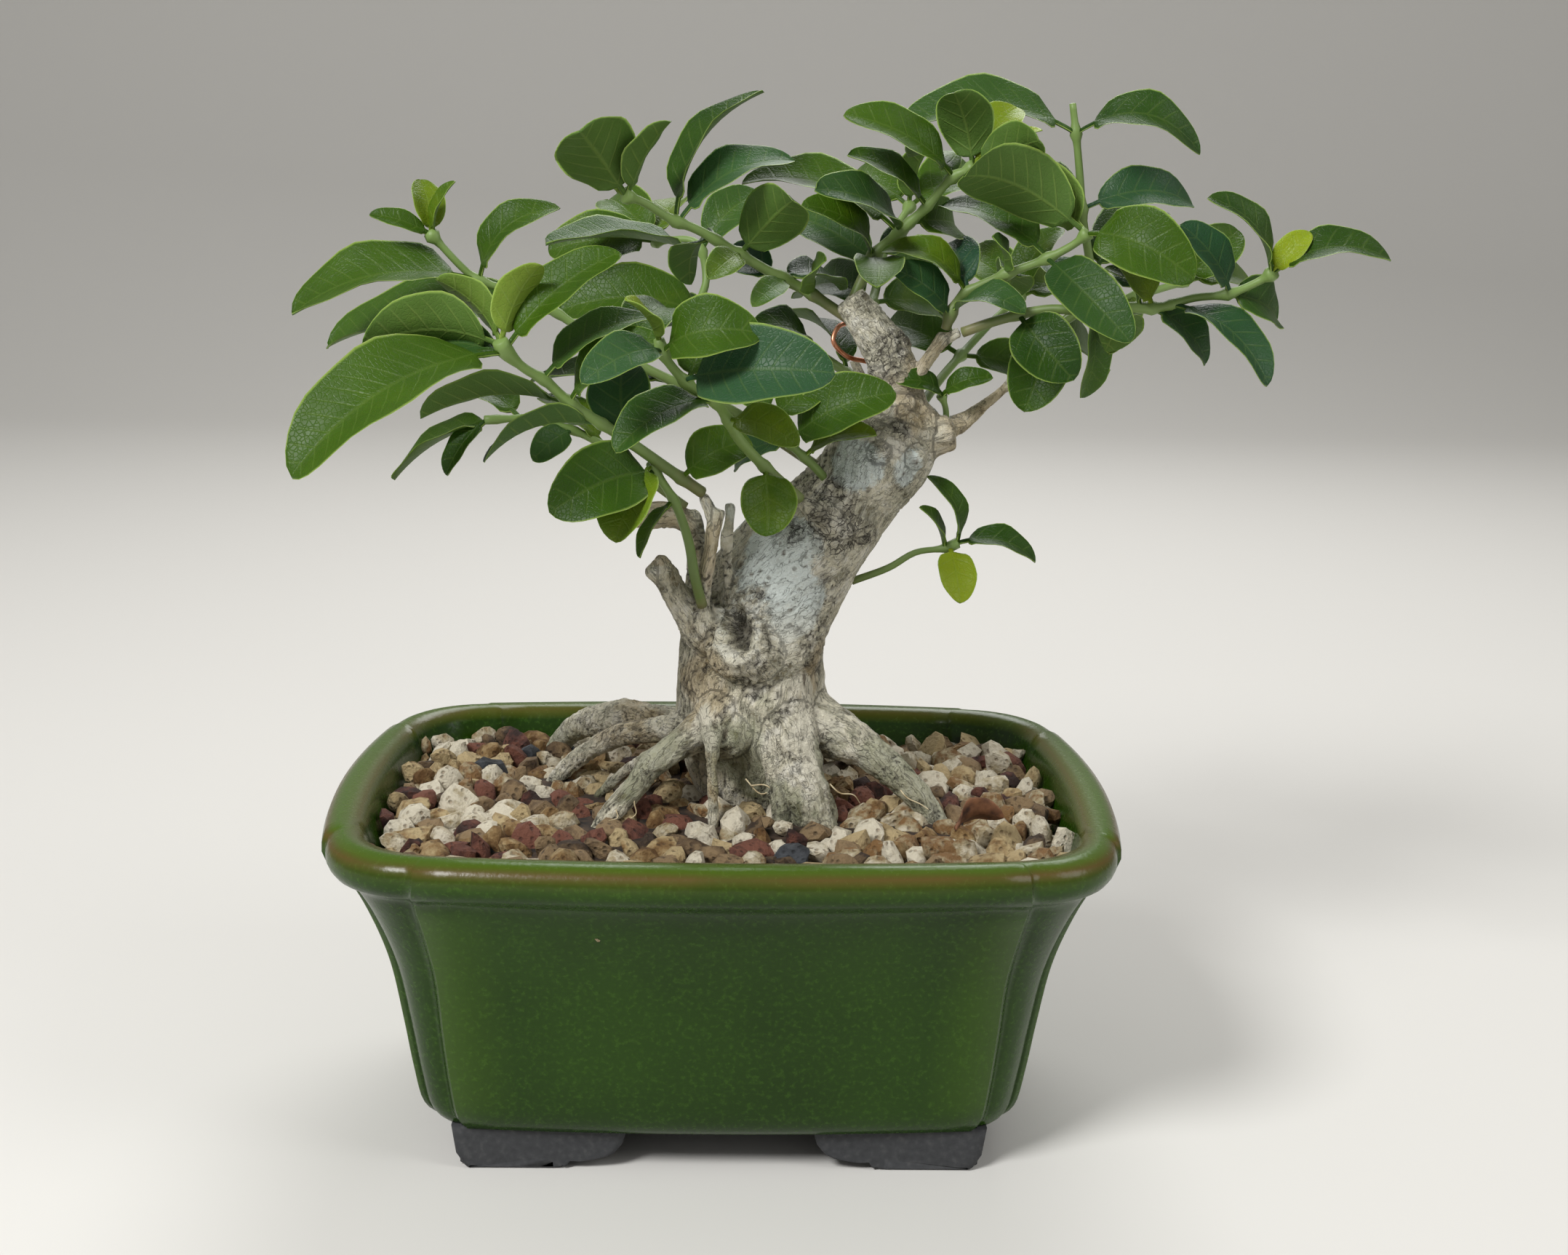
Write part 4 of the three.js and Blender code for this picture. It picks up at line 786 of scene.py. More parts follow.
def barkShape(points, normals, grain, girth):
    # how far each point stands out, and the marks that the colours follow: rise = soft lumps + streaks along
    # the grain + folds of the roots + corky and rough patches - cracks - hollow + callus + knots + pores
    sturdy = np.clip(girth / 6, 0.25, 1)
    front = smoothStep(0.2, -0.3, normals[:, 1])
    corkBehind = (1 - front) * smoothStep(0.0, 0.5, layeredNoise(points, 16, 9)) * smoothStep(82, 92, points[:, 2])
    cork = np.maximum(spotMask(points, bark["corkSpots"]), corkBehind)
    rough = spotMask(points, bark["roughSpots"])
    pale = spotMask(points, bark["paleSpots"]) * (1 - rough * 0.7)
    pale = np.maximum(pale, (1 - front) * smoothStep(0.1, 0.45, layeredNoise(points, 13, 77)) * 0.8)
    twig = np.linalg.norm((points - [8, 0, 100]) * [1, 1, 0.25], axis=1)
    thick = 1 - smoothStep(15, 22, twig)
    root = smoothStep(80, 74, points[:, 2]) * smoothStep(9, 16, np.hypot(points[:, 0] - 6, points[:, 1] - 3))
    rise = 0.5 * layeredNoise(points, 7, 1, 3) * (0.3 + 0.7 * thick)
    rise += 0.14 * layeredNoise(grain, 1.6, 5, 2)
    folds = smoothStep(0.3, 0.05, np.abs(valueNoise(points, 4.2, 44)))
    rise += root * sturdy * (0.5 * layeredNoise(points, 3.6, 15, 3) - 0.3 * folds)
    plates = crackNoise(grain + 0.9 * layeredNoise(points, 3, 8)[:, None], 2.3, 3)
    corkPlates = crackNoise(points + 1.3 * layeredNoise(points, 2.5, 12)[:, None], 2.6, 13)
    swirls = np.abs(valueNoise(points + 1.8 * layeredNoise(points, 4, 31)[:, None], 2.3, 19))
    cracked = smoothStep(-0.1, 0.5, layeredNoise(points, 9, 51) + 0.25 - pale * 0.5)
    crackShare = smoothStep(0.3, 0.04, plates) * cracked
    corkCrack = smoothStep(0.26, 0.02, corkPlates) * cork * smoothStep(-0.5, 0.4, layeredNoise(points, 5, 88))
    roughCrack = smoothStep(0.22, 0.03, swirls) * rough
    # where the crack colour goes: dark fissures with painted shade in them
    crackAndShade = np.clip(crackShare * (0.35 + 0.65 * thick) * (1 - 0.75 * pale) + corkCrack + roughCrack, 0, 1)
    rise += cork * (0.3 + 0.75 * layeredNoise(points, 3.4, 61, 3)) - 0.4 * corkCrack - 0.28 * crackShare
    rise += rough * 0.3 * layeredNoise(points, 1.8, 63, 2) - 0.45 * roughCrack
    # fissures along each root, which runs outwards from the trunk
    fissure = smoothStep(0.3, 0.05, crackNoise(grain + 0.6 * layeredNoise(points, 3, 56)[:, None], 1.7, 57))
    fissure = fissure * root * smoothStep(-0.3, 0.2, layeredNoise(points, 6, 59))
    rise -= 0.4 * sturdy * fissure
    crackAndShade = np.maximum(crackAndShade * (1 - 0.6 * root), fissure * 0.9)
    pale = np.maximum(pale, root * 0.3 * smoothStep(-0.25, 0.35, layeredNoise(points, 5, 58)))
    # the hollow, with the callus that has grown round it; its inside is dark wood with painted shade
    away = points - bark["hollow"]
    around = np.hypot(away[:, 0] / bark["hollowSize"][0], away[:, 2] / bark["hollowSize"][1])
    around = around + 0.22 * layeredNoise(points, 4, 70)
    around = np.where(away[:, 0] > 0, around * 1.15, around)
    near = (away[:, 1] > -6) & (away[:, 1] < 7) & (normals[:, 1] < 0.2)
    hole = np.where(near, smoothStep(1.1, 0.55, around), 0)
    lower = 1.1 - 0.75 * smoothStep(-1, 4, away[:, 2] + 0.5 * away[:, 0])
    callus = np.where(near, np.exp(-(((around - 1.55) / 0.36) ** 2)), 0) * lower
    rise += -bark["hollowDepth"] * hole + bark["callusRise"] * callus
    pale = np.maximum(pale, callus * 0.4)
    crackAndShade = crackAndShade * (1 - np.minimum(callus, 1))
    # rings round each knot, which swells in its middle
    rings = np.zeros(len(points))
    for x, y, z, reach in bark["knots"]:
        out = np.linalg.norm(points - [x, y, z], axis=1) / reach
        rise += 0.3 * np.cos(out * 9) * smoothStep(1.6, 0.9, out) + 0.5 * reach * np.exp(-1.8 * out**2)
        rings = np.maximum(rings, smoothStep(1.6, 1.1, out) * smoothStep(0.6, 0.95, out))
    cut = np.zeros(len(points))
    for x, y, z, reach in bark["cutFaces"]:
        cut = np.maximum(cut, smoothStep(1.0, 0.8, np.linalg.norm(points - [x, y, z], axis=1) / reach))
    # small raised pores on the smooth bark
    pore = smoothStep(0.62, 0.8, valueNoise(points, 1.5, 95)) * pale
    rise += 0.15 * pore
    algae = smoothStep(70, 61, points[:, 2]) * smoothStep(-0.2, 0.4, layeredNoise(points, 9, 33))
    marks = {
        "barkPale": pale,
        "barkCrackAndShade": np.maximum(crackAndShade, rings * 0.4),
        "barkCork": cork,
        "barkTan": np.maximum(spotMask(points, bark["tanSpots"]), cut),
        "barkStain": np.maximum(spotMask(points, bark["stainSpots"]), algae),
        "barkPore": pore,
        "barkHole": hole,
    }
    return rise, marks


def barkMaterial():
    # living bark: matt, beige to bluish white, black in its cracks with painted shade, green with algae near the
    # gravel
    material, tree, shader, place = newMaterial("pale cracked bark")
    mark = {key: addNode(tree, "Attribute", out="Fac", attribute_name="bark" + key)
            for key in ("Pale", "CrackAndShade", "Cork", "Tan", "Stain", "Pore", "Hole")}
    tall = addNode(tree, "Attribute", out="Vector", attribute_name="barkGrain")
    cloud, fine, streak = (addNode(tree, "TexNoise", {
        "Vector": where, "Scale": perMillimetre(size), "Detail": detail, "Roughness": roughness,
    }) for where, size, detail, roughness in ((place, 6, 6, 0.65), (place, 0.9, 6, 0.7), (tall, 1.1, 5, 0.7)))
    warped = addNode(tree, "TexNoise", {
        "Vector": tall, "Scale": perMillimetre(2.2), "Detail": 3, "Distortion": 1.6})
    ridge = addNode(tree, "Math", [warped, 0.5], operation="SUBTRACT")
    ridge = addNode(tree, "Math", [ridge], operation="ABSOLUTE")
    swirl = addNode(tree, "MapRange", {"Value": ridge, "From Min": 0.02, "From Max": 0.006})
    tone = addNode(tree, "Math", [streak, 0.5, cloud], operation="MULTIPLY_ADD")
    tone = addNode(tree, "Math", [tone, 0.667], operation="MULTIPLY")
    colour = addNode(tree, "ValToRGB", {"Fac": tone}, stops=[
        (0.38, bark["dull"]), (0.44, bark["grey"]), (0.5, bark["beige"]), (0.6, bark["bright"])])
    colour = blend(tree, colour, bark["tan"], mark["Tan"], 0.55)
    # the pale patches: bluish high up, creamy lower down, broken into streaks at their edges
    height = addNode(tree, "SeparateXYZ", [place], out=2)
    high = addNode(tree, "MapRange", {"Value": height, "From Min": 0.09, "From Max": 0.102})
    paleTone = blend(tree, bark["cream"], bark["pale"], high)
    broken = addNode(tree, "MapRange", {
        "Value": streak, "From Min": 0.4, "From Max": 0.58, "To Min": -0.55, "To Max": 0.1})
    paleShare = addNode(tree, "Math", [mark["Pale"], 1.4, broken], operation="MULTIPLY_ADD", use_clamp=True)
    colour = blend(tree, colour, paleTone, paleShare, 0.95)
    dark = addNode(tree, "MapRange", {"Value": streak, "From Min": 0.46, "From Max": 0.28, "To Max": 0.08})
    speck = addNode(tree, "MapRange", {"Value": fine, "From Min": 0.4, "From Max": 0.25, "To Max": 0.2})
    # crisp black lines within the cracked patches, dark fissures with painted shade in them, and dark pores on the
    # pale ones
    drift = addNode(tree, "TexNoise", {"Vector": place, "Scale": perMillimetre(3.4), "Detail": 4}, out="Color")
    drift = addNode(tree, "VectorMath", {0: drift, "Scale": 0.008}, operation="SCALE")
    drifted = addNode(tree, "VectorMath", [place, drift], operation="ADD")
    edges = addNode(tree, "TexVoronoi", {"Vector": drifted, "Scale": perMillimetre(2.6)},
                    feature="DISTANCE_TO_EDGE")
    line = addNode(tree, "MapRange", {"Value": edges, "From Min": 0.07, "From Max": 0.015})
    region = addNode(tree, "Math", [mark["CrackAndShade"], mark["Cork"]], operation="MAXIMUM")
    region = addNode(tree, "MapRange", {"Value": region, "From Min": 0.3, "From Max": 0.9})
    line = addNode(tree, "Math", [line, region], operation="MULTIPLY")
    dots = addNode(tree, "TexVoronoi", {"Vector": place, "Scale": perMillimetre(2.6)})
    dot = addNode(tree, "MapRange", {"Value": dots, "From Min": 0.24, "From Max": 0.15})
    some = addNode(tree, "MapRange", {"Value": cloud, "From Min": 0.42, "From Max": 0.56})
    some = addNode(tree, "Math", [mark["Pale"], some], operation="MULTIPLY")
    dot = addNode(tree, "Math", [dot, some], operation="MULTIPLY")
    # the cracks' near-black is dark fissure and painted shade
    for over, share, strength in (
            ("stain", mark["Stain"], 0.5), ("pore", mark["Pore"], 0.8), ("cork", mark["Cork"], 0.3),
            ("shade", dark, 1), ("speck", speck, 1), ("swirl", swirl, 0.5), ("crackAndShade", mark["CrackAndShade"], 0.55),
            ("crackAndShade", line, 0.75), ("dot", dot, 0.7), ("inside", mark["Hole"], 0.6)):
        colour = blend(tree, colour, bark[over], share, strength)
    height = addNode(tree, "Math", [streak, 0.6, fine], operation="MULTIPLY_ADD")
    for part, share in ((warped, 1.1), (swirl, -0.35), (line, -0.6)):
        height = addNode(tree, "Math", [part, share, height], operation="MULTIPLY_ADD")
    bump = addNode(tree, "Bump", {"Height": height, "Strength": 1.0, "Distance": 0.0011})
    setInputs(tree, shader, {"Base Color": colour, "Normal": bump, "Roughness": 0.82})
    return material


def flutes(angle, share):
    # the trunk's outline: 1 + three and five low waves round it, which turn slowly on their way up
    return 1 + 0.045 * np.sin(3 * angle + 5 * share) + 0.03 * np.sin(5 * angle - 9 * share)


def addWood(curves):
    gathered = Gathered()
    gathered.add(*tube(curves[0], bark["trunkSides"], flutes))
    for curve in curves[1:]:
        gathered.add(*tube(curve, bark["branchSides"]))
    points, faces, _ = gathered.arrays()
    wood = addPiece("wood", points, faces, [barkMaterial()], ["trunk"])
    fused = wood.modifiers.new("fused", "REMESH")
    fused.mode, fused.voxel_size = "VOXEL", bark["grain"] * metre
    applyModifiers(wood)
    mesh = wood.data
    count = len(mesh.vertices)
    points = np.empty(count * 3)
    mesh.vertices.foreach_get("co", points)
    points = (points.reshape(-1, 3) - potCentre) / metre
    edges = np.empty(len(mesh.edges) * 2, int)
    mesh.edges.foreach_get("vertices", edges)
    first, second = edges.reshape(-1, 2).T
    neighbours = np.bincount(first, minlength=count) + np.bincount(second, minlength=count)
    # smoothed in and out again in turn, so that thin twigs keep their thickness
    for step in (0.55, -0.57) * 5:
        total = np.stack([np.bincount(first, points[second, k], count)
                          + np.bincount(second, points[first, k], count) for k in range(3)], axis=1)
        points += step * (total / np.maximum(neighbours, 1)[:, None] - points)
    mesh.vertices.foreach_set("co", (points * metre + potCentre).ravel())
    mesh.update()
    normals = np.empty(count * 3)
    mesh.vertex_normals.foreach_get("vector", normals)
    normals = normals.reshape(-1, 3)
    grain, girth = grainPlaces(points, curves)
    rise, marks = barkShape(points, normals, grain, girth)
    points += normals * rise[:, None]
    mesh.vertices.foreach_set("co", (points * metre + potCentre).ravel())
    addMarks(mesh, marks)
    layer = mesh.attributes.new("barkGrain", "FLOAT_VECTOR", "POINT")
    layer.data.foreach_set("vector", (grain * metre).astype(np.float32).ravel())
    mesh.materials.clear()
    mesh.materials.append(bpy.data.materials["pale cracked bark"])
    mesh.shade_smooth()
    mesh.update()
    print("wood:", count, "points")


curves = woodCurves()
addWood(curves)
addSoil()
addGravel(curves)
print("gravel done")


wire = {
    "diameter": 0.9,
    "sides": 12,
    # behind the upper trunk, out to its left in a loose loop and back behind it
    "path": [[33.4, 4.8, 145.6], [29.6, 5.6, 145.1], [25.4, 4.2, 145.8], [21.8, 1.4, 147], [19.3, 0.2, 149.8],
             [20.4, 2, 152.4], [23.2, 4.8, 152.6], [26.6, 5, 151.5], [30, 4.6, 150.3]],
}


def addWire():
    radius = wire["diameter"] / 2
    points, quads, triangles = tube(splinePoints(tapered(wire["path"], radius, radius), 10), wire["sides"])
    # annealed copper, dulled to brown with a pinkish shine
    copper = plainMaterial("annealed copper", 3, 4, [(0.35, "#a8623f"), (0.65, "#e8a98a")],
                           {"Metallic": 1.0, "Roughness": 0.42})
    addPiece("training_wire", points, [quads, triangles], [copper], ["wire"])


addWire()


leafForm = {
    "petiole": 0.13,  # share of the leaf's length that is stalk
    "petioleWidth": 1.0,
    "fold": 20,  # degrees that each half is raised
    "skew": 0.9,
    # how bluntly a leaf closes: narrow leaves first, broad ones second
    "fullness": (0.6, 0.42),
    "thickness": 0.34,
    "veinSpacing": 3.1,
    "stations": 19,
    "across": 9,
    "stemSides": 10,
    "stemStep": 1.1,
    "lastBase": 0.99,  # no leaf grows beyond this share of its stem
    "old": "#1f3c0b",
    "mid": "#3d5a0d",
    "young": "#84961b",
    # a bluish sheen, painted into the colour of some leaves
    "blueSheen": "#2b5040",
    "under": "#5d7a38",
    "vein": "#809649",
    "margin": "#92a850",
    "stem": "#748e4a",
    "stemMid": "#65783f",
    "stemOld": "#7b7350",
}
# Each stem: its node, thickness at both ends, path, and for each leaf its share of the path, the
# tip's x, y, z, the width, the roll about its own length in degrees and the arch. An eighth value
# is the leaf's youth, from 0 for dark green to 1 for yellow-green.
# A ninth value is the leaf's painted bluish sheen, from 0 to 1.
stems = [
    dict(node="leaves_left_low", thick=[2.2, 1.5],
         path=[[-4.8, -13.2, 123], [-11, -18, 128], [-16, -21, 132], [-20, -23, 135], [-28, -28, 141],
               [-32, -30, 145], [-35, -32, 147], [-38, -34, 150], [-39, -35, 152]],
         leaves=[[0.95, -71, -54, 131.9, 19, 25, 5, 0.42], [0.96, -75, -30, 136.2, 17, 20, 3],
                 [0.92, -59, -25, 148, 11, 30, 3], [0.98, -62, -36, 151, 13.5, -60, 4],
                 [1.0, -32, -36, 165, 8, 45, 2, 0.9], [1.0, -50, -30, 162, 8, -60, 2, 0.62],
                 [0.96, -19, -30, 167, 11, -35, 2, 0.4], [0.78, -14, -27, 156, 10, -25, 3],
                 [0.65, -12, -33, 153, 10, -50, 3], [0.39, -19, -17, 147, 12.5, 10, 2],
                 [0.65, -54, -26, 138, 12.5, -25, 3], [0.5, -42, -36, 132, 10, -30, 3],
                 [0.11, 4, -16, 133, 10, -60, 3]]),
    dict(node="leaves_left_mid", thick=[2.0, 1.4],
         path=[[-4.6, -10, 101], [-6, -12.6, 107], [-7, -13.4, 113], [-8.4, -14.4, 118], [-10, -15.4, 122],
               [-13, -17, 127], [-14, -18, 129]],
         leaves=[[0.93, -31, -30, 122, 14.5, 55, 3], [0.99, -20, -26, 116, 12, 10, 2, 0.6],
                 [0.72, -16, -20, 112, 5.5, -10, 1]]),
    dict(node="leaves_left_far", thick=[2.1, 1.3],
         path=[[20, 0, 124], [8, -1, 132], [0, -2, 137], [-10, -4, 142], [-18, -6, 146], [-25, -7, 150],
               [-32, -8, 155], [-41, -10, 159], [-46, -11, 161], [-54, -12, 169]],
         leaves=[[1.0, -64, -14, 172, 4.5, 50, 1, 0.35], [1.0, -49, -14, 178, 4.5, -50, 1, 0.55],
                 [1.0, -56, -7, 178, 6.5, 0, 1, 0.65], [0.86, -31, -12, 174, 10, -40, 4, 0.35],
                 [0.86, -78, -16, 155, 17, 25, 5, 0.42], [0.69, -75, 0, 148, 20, 25, 4],
                 [0.4, -38, 5, 141, 11, 15, 2], [0.52, -12, 10, 155, 11, -20, 3]]),
    dict(node="leaves_left_under", thick=[1.8, 1.2],
         path=[[-8, -2.4, 118.4], [-17, -3, 125], [-27, -4, 132], [-38, -6, 135], [-45, -8, 135]],
         leaves=[[1.0, -52, -10, 125, 6.5, 25, 1, 0.2], [0.94, -63, -2, 123, 11, 15, 2],
                 [0.61, -36, -10, 128, 6.5, 50, 1], [0.84, -52, 8, 139, 10, 15, 2], [0.45, -36, 3, 138, 9, 10, 2]]),
    dict(node="leaves_top_left", thick=[2.1, 1.4],
         path=[[22, 1, 154], [14, 1, 159], [8, -1, 162], [1, -4, 166], [-6, -7, 170], [-11, -9, 172],
               [-16, -12, 175], [-19, -14, 176]],
         leaves=[[0.99, -26, -26, 187, 15.5, -40, 2, 0.3], [0.99, -11, -18, 189, 9, 0, 1, 0.25],
                 [0.99, -31, -10, 182, 8, -35, 1], [0.76, 11, -4, 183, 12.5, -25, 4], [0.77, 5, -2, 195, 12.5, 0, 4],
                 [0.49, 11, -16, 176, 12.5, 50, 2], [0.49, -4, -16, 162, 6.5, 35, 1], [0.32, -3, 8, 164, 10, 35, 1],
                 [0.16, 17, -7, 165, 8, -60, 1, 0.5], [0.28, 4, -11, 157, 5.5, 30, 1],
                 [0.3, 21, 11, 159, 10, -20, 2], [0.6, -8, 5, 160, 10, 25, 3]]),
    dict(node="leaves_top_centre", thick=[2.1, 1.3],
         path=[[22.4, 0.6, 156.6], [27, 2, 166], [31, 0, 170], [36, -2, 175], [40, -4, 180], [44, -5, 182]],
         leaves=[[0.47, 2, 4, 179, 14.5, 25, 4], [0.27, 13, -8, 175, 10, 50, 3], [0.48, 15, -16, 178, 11, 45, 3],
                 [0.67, 21, -5, 184, 9, 35, 2], [0.88, 20, -10, 191, 11, 45, 3],
                 [0.99, 39, -12, 195, 11, -25, 2, 0.25], [1.0, 54, -16, 187, 10, 60, 2, 0.35],
                 [0.99, 52, 1, 193, 10, -30, 2, 0.8], [0.98, 56, -4, 189, 6.5, -15, 1, 0.9],
                 [0.27, 26, -17, 161, 10, 0, 1], [0.55, 43, 14, 171, 10, -60, 2], [0.88, 33, 7, 184, 10, -10, 2],
                 [0.3, 36, 10, 165, 10, -30, 2]]),
    dict(node="leaves_mid_right", thick=[1.9, 1.3],
         path=[[40, -3, 152.6], [41, -3, 156], [43, -4, 159], [50, -7, 163], [57, -9, 166], [62, -11, 169],
               [64, -12, 171]],
         leaves=[[0.08, 29, -8, 164, 9, 60, 2], [0.1, 53, -14, 157, 9, -25, 3], [0.24, 28, -2, 167, 9, 30, 4],
                 [0.25, 41, 9, 168, 9, 20, 2], [0.49, 47, -12, 170, 6.5, 60, 1], [0.74, 39, 4, 175, 12.5, 20, 3],
                 [0.99, 40, -22, 181, 14.5, -55, 5, 0.2], [1.0, 48, -9, 180.5, 12.5, -60, 4],
                 [1.0, 81, -24, 164, 13.5, -60, 4, 0.42], [0.73, 70, -26, 153, 11, -40, 3],
                 [0.5, 52, 5, 158, 9, -30, 2]]),
    dict(node="leaves_right_long", thick=[2.0, 1.3],
         path=[[43, -4.4, 152.2], [50, -7, 155], [58, -9, 157], [65, -11, 157], [71, -13, 158], [77, -14, 158],
               [83, -16, 160], [89, -18, 161], [95, -19, 164], [96, -20, 165]],
         leaves=[[0.19, 62, -16, 145, 12.5, -55, 2], [0.61, 68, -14, 169, 8, 60, 2],
                 [0.57, 67, -15, 165, 5.5, 40, 2], [0.67, 95, -26, 146, 11, -15, 3, 0.2, 0.7],
                 [0.61, 87, -12, 148, 9, -50, 2, 0.25, 0.5], [0.84, 100, -10, 156, 11, -60, 2],
                 [0.85, 79, -20, 173, 9, 60, 2], [1.0, 83, -24, 178, 9, 45, 3, 0.2],
                 [1.0, 102, -20, 172, 5.5, -60, 1, 0.95], [1.0, 116, -22, 168, 10, -30, 4, 0.22],
                 [0.42, 57, 2, 165, 8, 15, 2], [0.5, 71, 2, 149, 10, -30, 2]]),
    dict(node="leaves_right_back", thick=[1.9, 1.4],
         path=[[56.2, 6.2, 146.6], [61, 9, 151], [69, 12, 156], [78, 15, 158], [89, 18, 161]],
         leaves=[[1.0, 99, 20, 171, 10, -60, 3], [0.2, 56, 2, 137, 12.5, 25, 2], [0.44, 68, 8, 139, 9, 45, 2],
                 [0.71, 72, 4, 148, 8, 15, 1], [1.0, 107, 34, 158, 12.5, -35, 3], [0.71, 89, 40, 167, 13.5, 35, 3],
                 [0.2, 74, 34, 143, 13.5, -55, 2]]),
    dict(node="leaves_right_back", thick=[1.8, 1.3],
         path=[[69, 12, 155], [69, 12, 163], [67, 12, 173], [66, 12, 181], [65, 12, 188], [64, 12, 194]],
         leaves=[[0.86, 31, 10, 189, 15.5, 30, 5], [0.86, 88, 8, 186, 11, -40, 6], [0.5, 89, 16, 176, 11, -45, 4],
                 [0.5, 56, 30, 179, 11, 25, 3], [0.17, 87, 36, 174, 12.5, -15, 3]]),
    dict(node="leaves_centre_front", thick=[2.2, 1.4],
         path=[[13.2, -11.6, 121.8], [8, -16, 127], [2, -23, 134], [-2, -29, 141], [-7, -34, 145], [-11, -37, 150],
               [-12, -38, 153]],
         leaves=[[0.95, 5, -44, 155, 12.5, -60, 4, 0.38], [1.0, -17, -45, 160, 6.5, 30, 1],
                 [0.81, 17, -48, 149, 15.5, -60, 4, 0.3, 0.9], [0.64, -19, -43, 135, 11, 20, 3, 0.28, 0.2],
                 [0.53, 12, -34, 135, 8, -45, 2], [0.23, 7, -24, 117, 11, 0, 0, 0.55],
                 [0.95, -24, -50, 147, 9, 35, 3], [0.79, -4, -26, 156, 10, -20, 2]]),
    dict(node="leaves_centre_back", thick=[1.8, 1.2],
         path=[[21, -2, 121], [16, -6, 127], [11, -9, 132], [8, -12, 137]],
         leaves=[[0.7, 30, -14, 142, 12.5, -60, 3], [0.51, 27, -11, 134, 8, -30, 2], [0.98, 17, -5, 144, 9, -50, 2],
                 [0.98, -3, -8, 146, 9, 50, 2], [0.7, 1, -3, 126, 8, 50, 2]]),
    dict(node="leaves_right_low", thick=[1.5, 1.0],
         path=[[24, 0, 104], [31, -1, 107], [36, -1, 110], [42, -1, 111], [44, -1, 112]],
         leaves=[[1.0, 38, -2, 125, 6.5, 40, 3, 0.3], [0.88, 36, -8, 120, 4.5, 60, 1, 0.4],
                 [1.0, 59, -2, 109, 8, -25, 3, 0.15], [0.92, 44, -9, 102, 8, 0, 1, 1]]),
    dict(node="leaves_stub", thick=[1.3, 1.0],
         path=[[41, 1, 134], [41, 1, 137], [40, 0, 140]],
         leaves=[[1.0, 31, -4, 143, 5.5, 50, 2, 0.25], [1.0, 49, -3, 144, 5.5, -50, 2, 0.3]]),
    dict(node="leaves_back_left", thick=[2.0, 1.4],
         path=[[31, 1, 138], [24, 9, 142], [15, 16, 147], [5, 22, 150], [-6, 28, 153], [-5, 32, 159], [-7, 34, 166],
               [-16, 38, 166]],
         leaves=[[1.0, -37, 36, 164, 12.5, 55, 3], [0.61, -34, 24, 153, 14.5, 50, 4], [1.0, -26, 54, 174, 11, 30, 3],
                 [0.84, 6, 40, 176, 10, -40, 3], [0.61, -16, 50, 146, 12.5, 40, 3], [0.41, -4, 36, 138, 11, 50, 3],
                 [0.84, -36, 20, 166, 14.5, 10, 2], [1.0, -7, 58, 174, 11, 15, 3], [0.18, 12, 24, 153, 11, -20, 3],
                 [0.3, 4, 8, 151, 11, 30, 3]]),
    dict(node="leaves_back_centre", thick=[1.9, 1.4],
         path=[[25, 1, 153], [28, 16, 158], [30, 24, 165], [33, 31, 170], [36, 37, 174]],
         leaves=[[1.0, 24, 56, 179, 12.5, 25, 3], [1.0, 51, 52, 181, 12.5, -30, 3], [0.54, 12, 32, 172, 11, 45, 3],
                 [0.54, 47, 42, 161, 11, -40, 3], [1.0, 40, 30, 188, 9, -20, 2], [0.26, 14, 34, 156, 12.5, 35, 3],
                 [0.26, 42, 26, 153, 11, -50, 3]]),
    dict(node="leaves_back_right", thick=[1.9, 1.4],
         path=[[34, 2, 134], [41, 16, 141], [47, 26, 146], [54, 34, 152], [60, 42, 156]],
         leaves=[[1.0, 76, 58, 156, 12.5, -30, 3], [1.0, 48, 56, 163, 12.5, 30, 3], [0.53, 32, 40, 150, 12.5, 40, 3],
                 [0.53, 66, 30, 138, 11, -50, 3], [1.0, 68, 44, 170, 10, -25, 2]]),
]


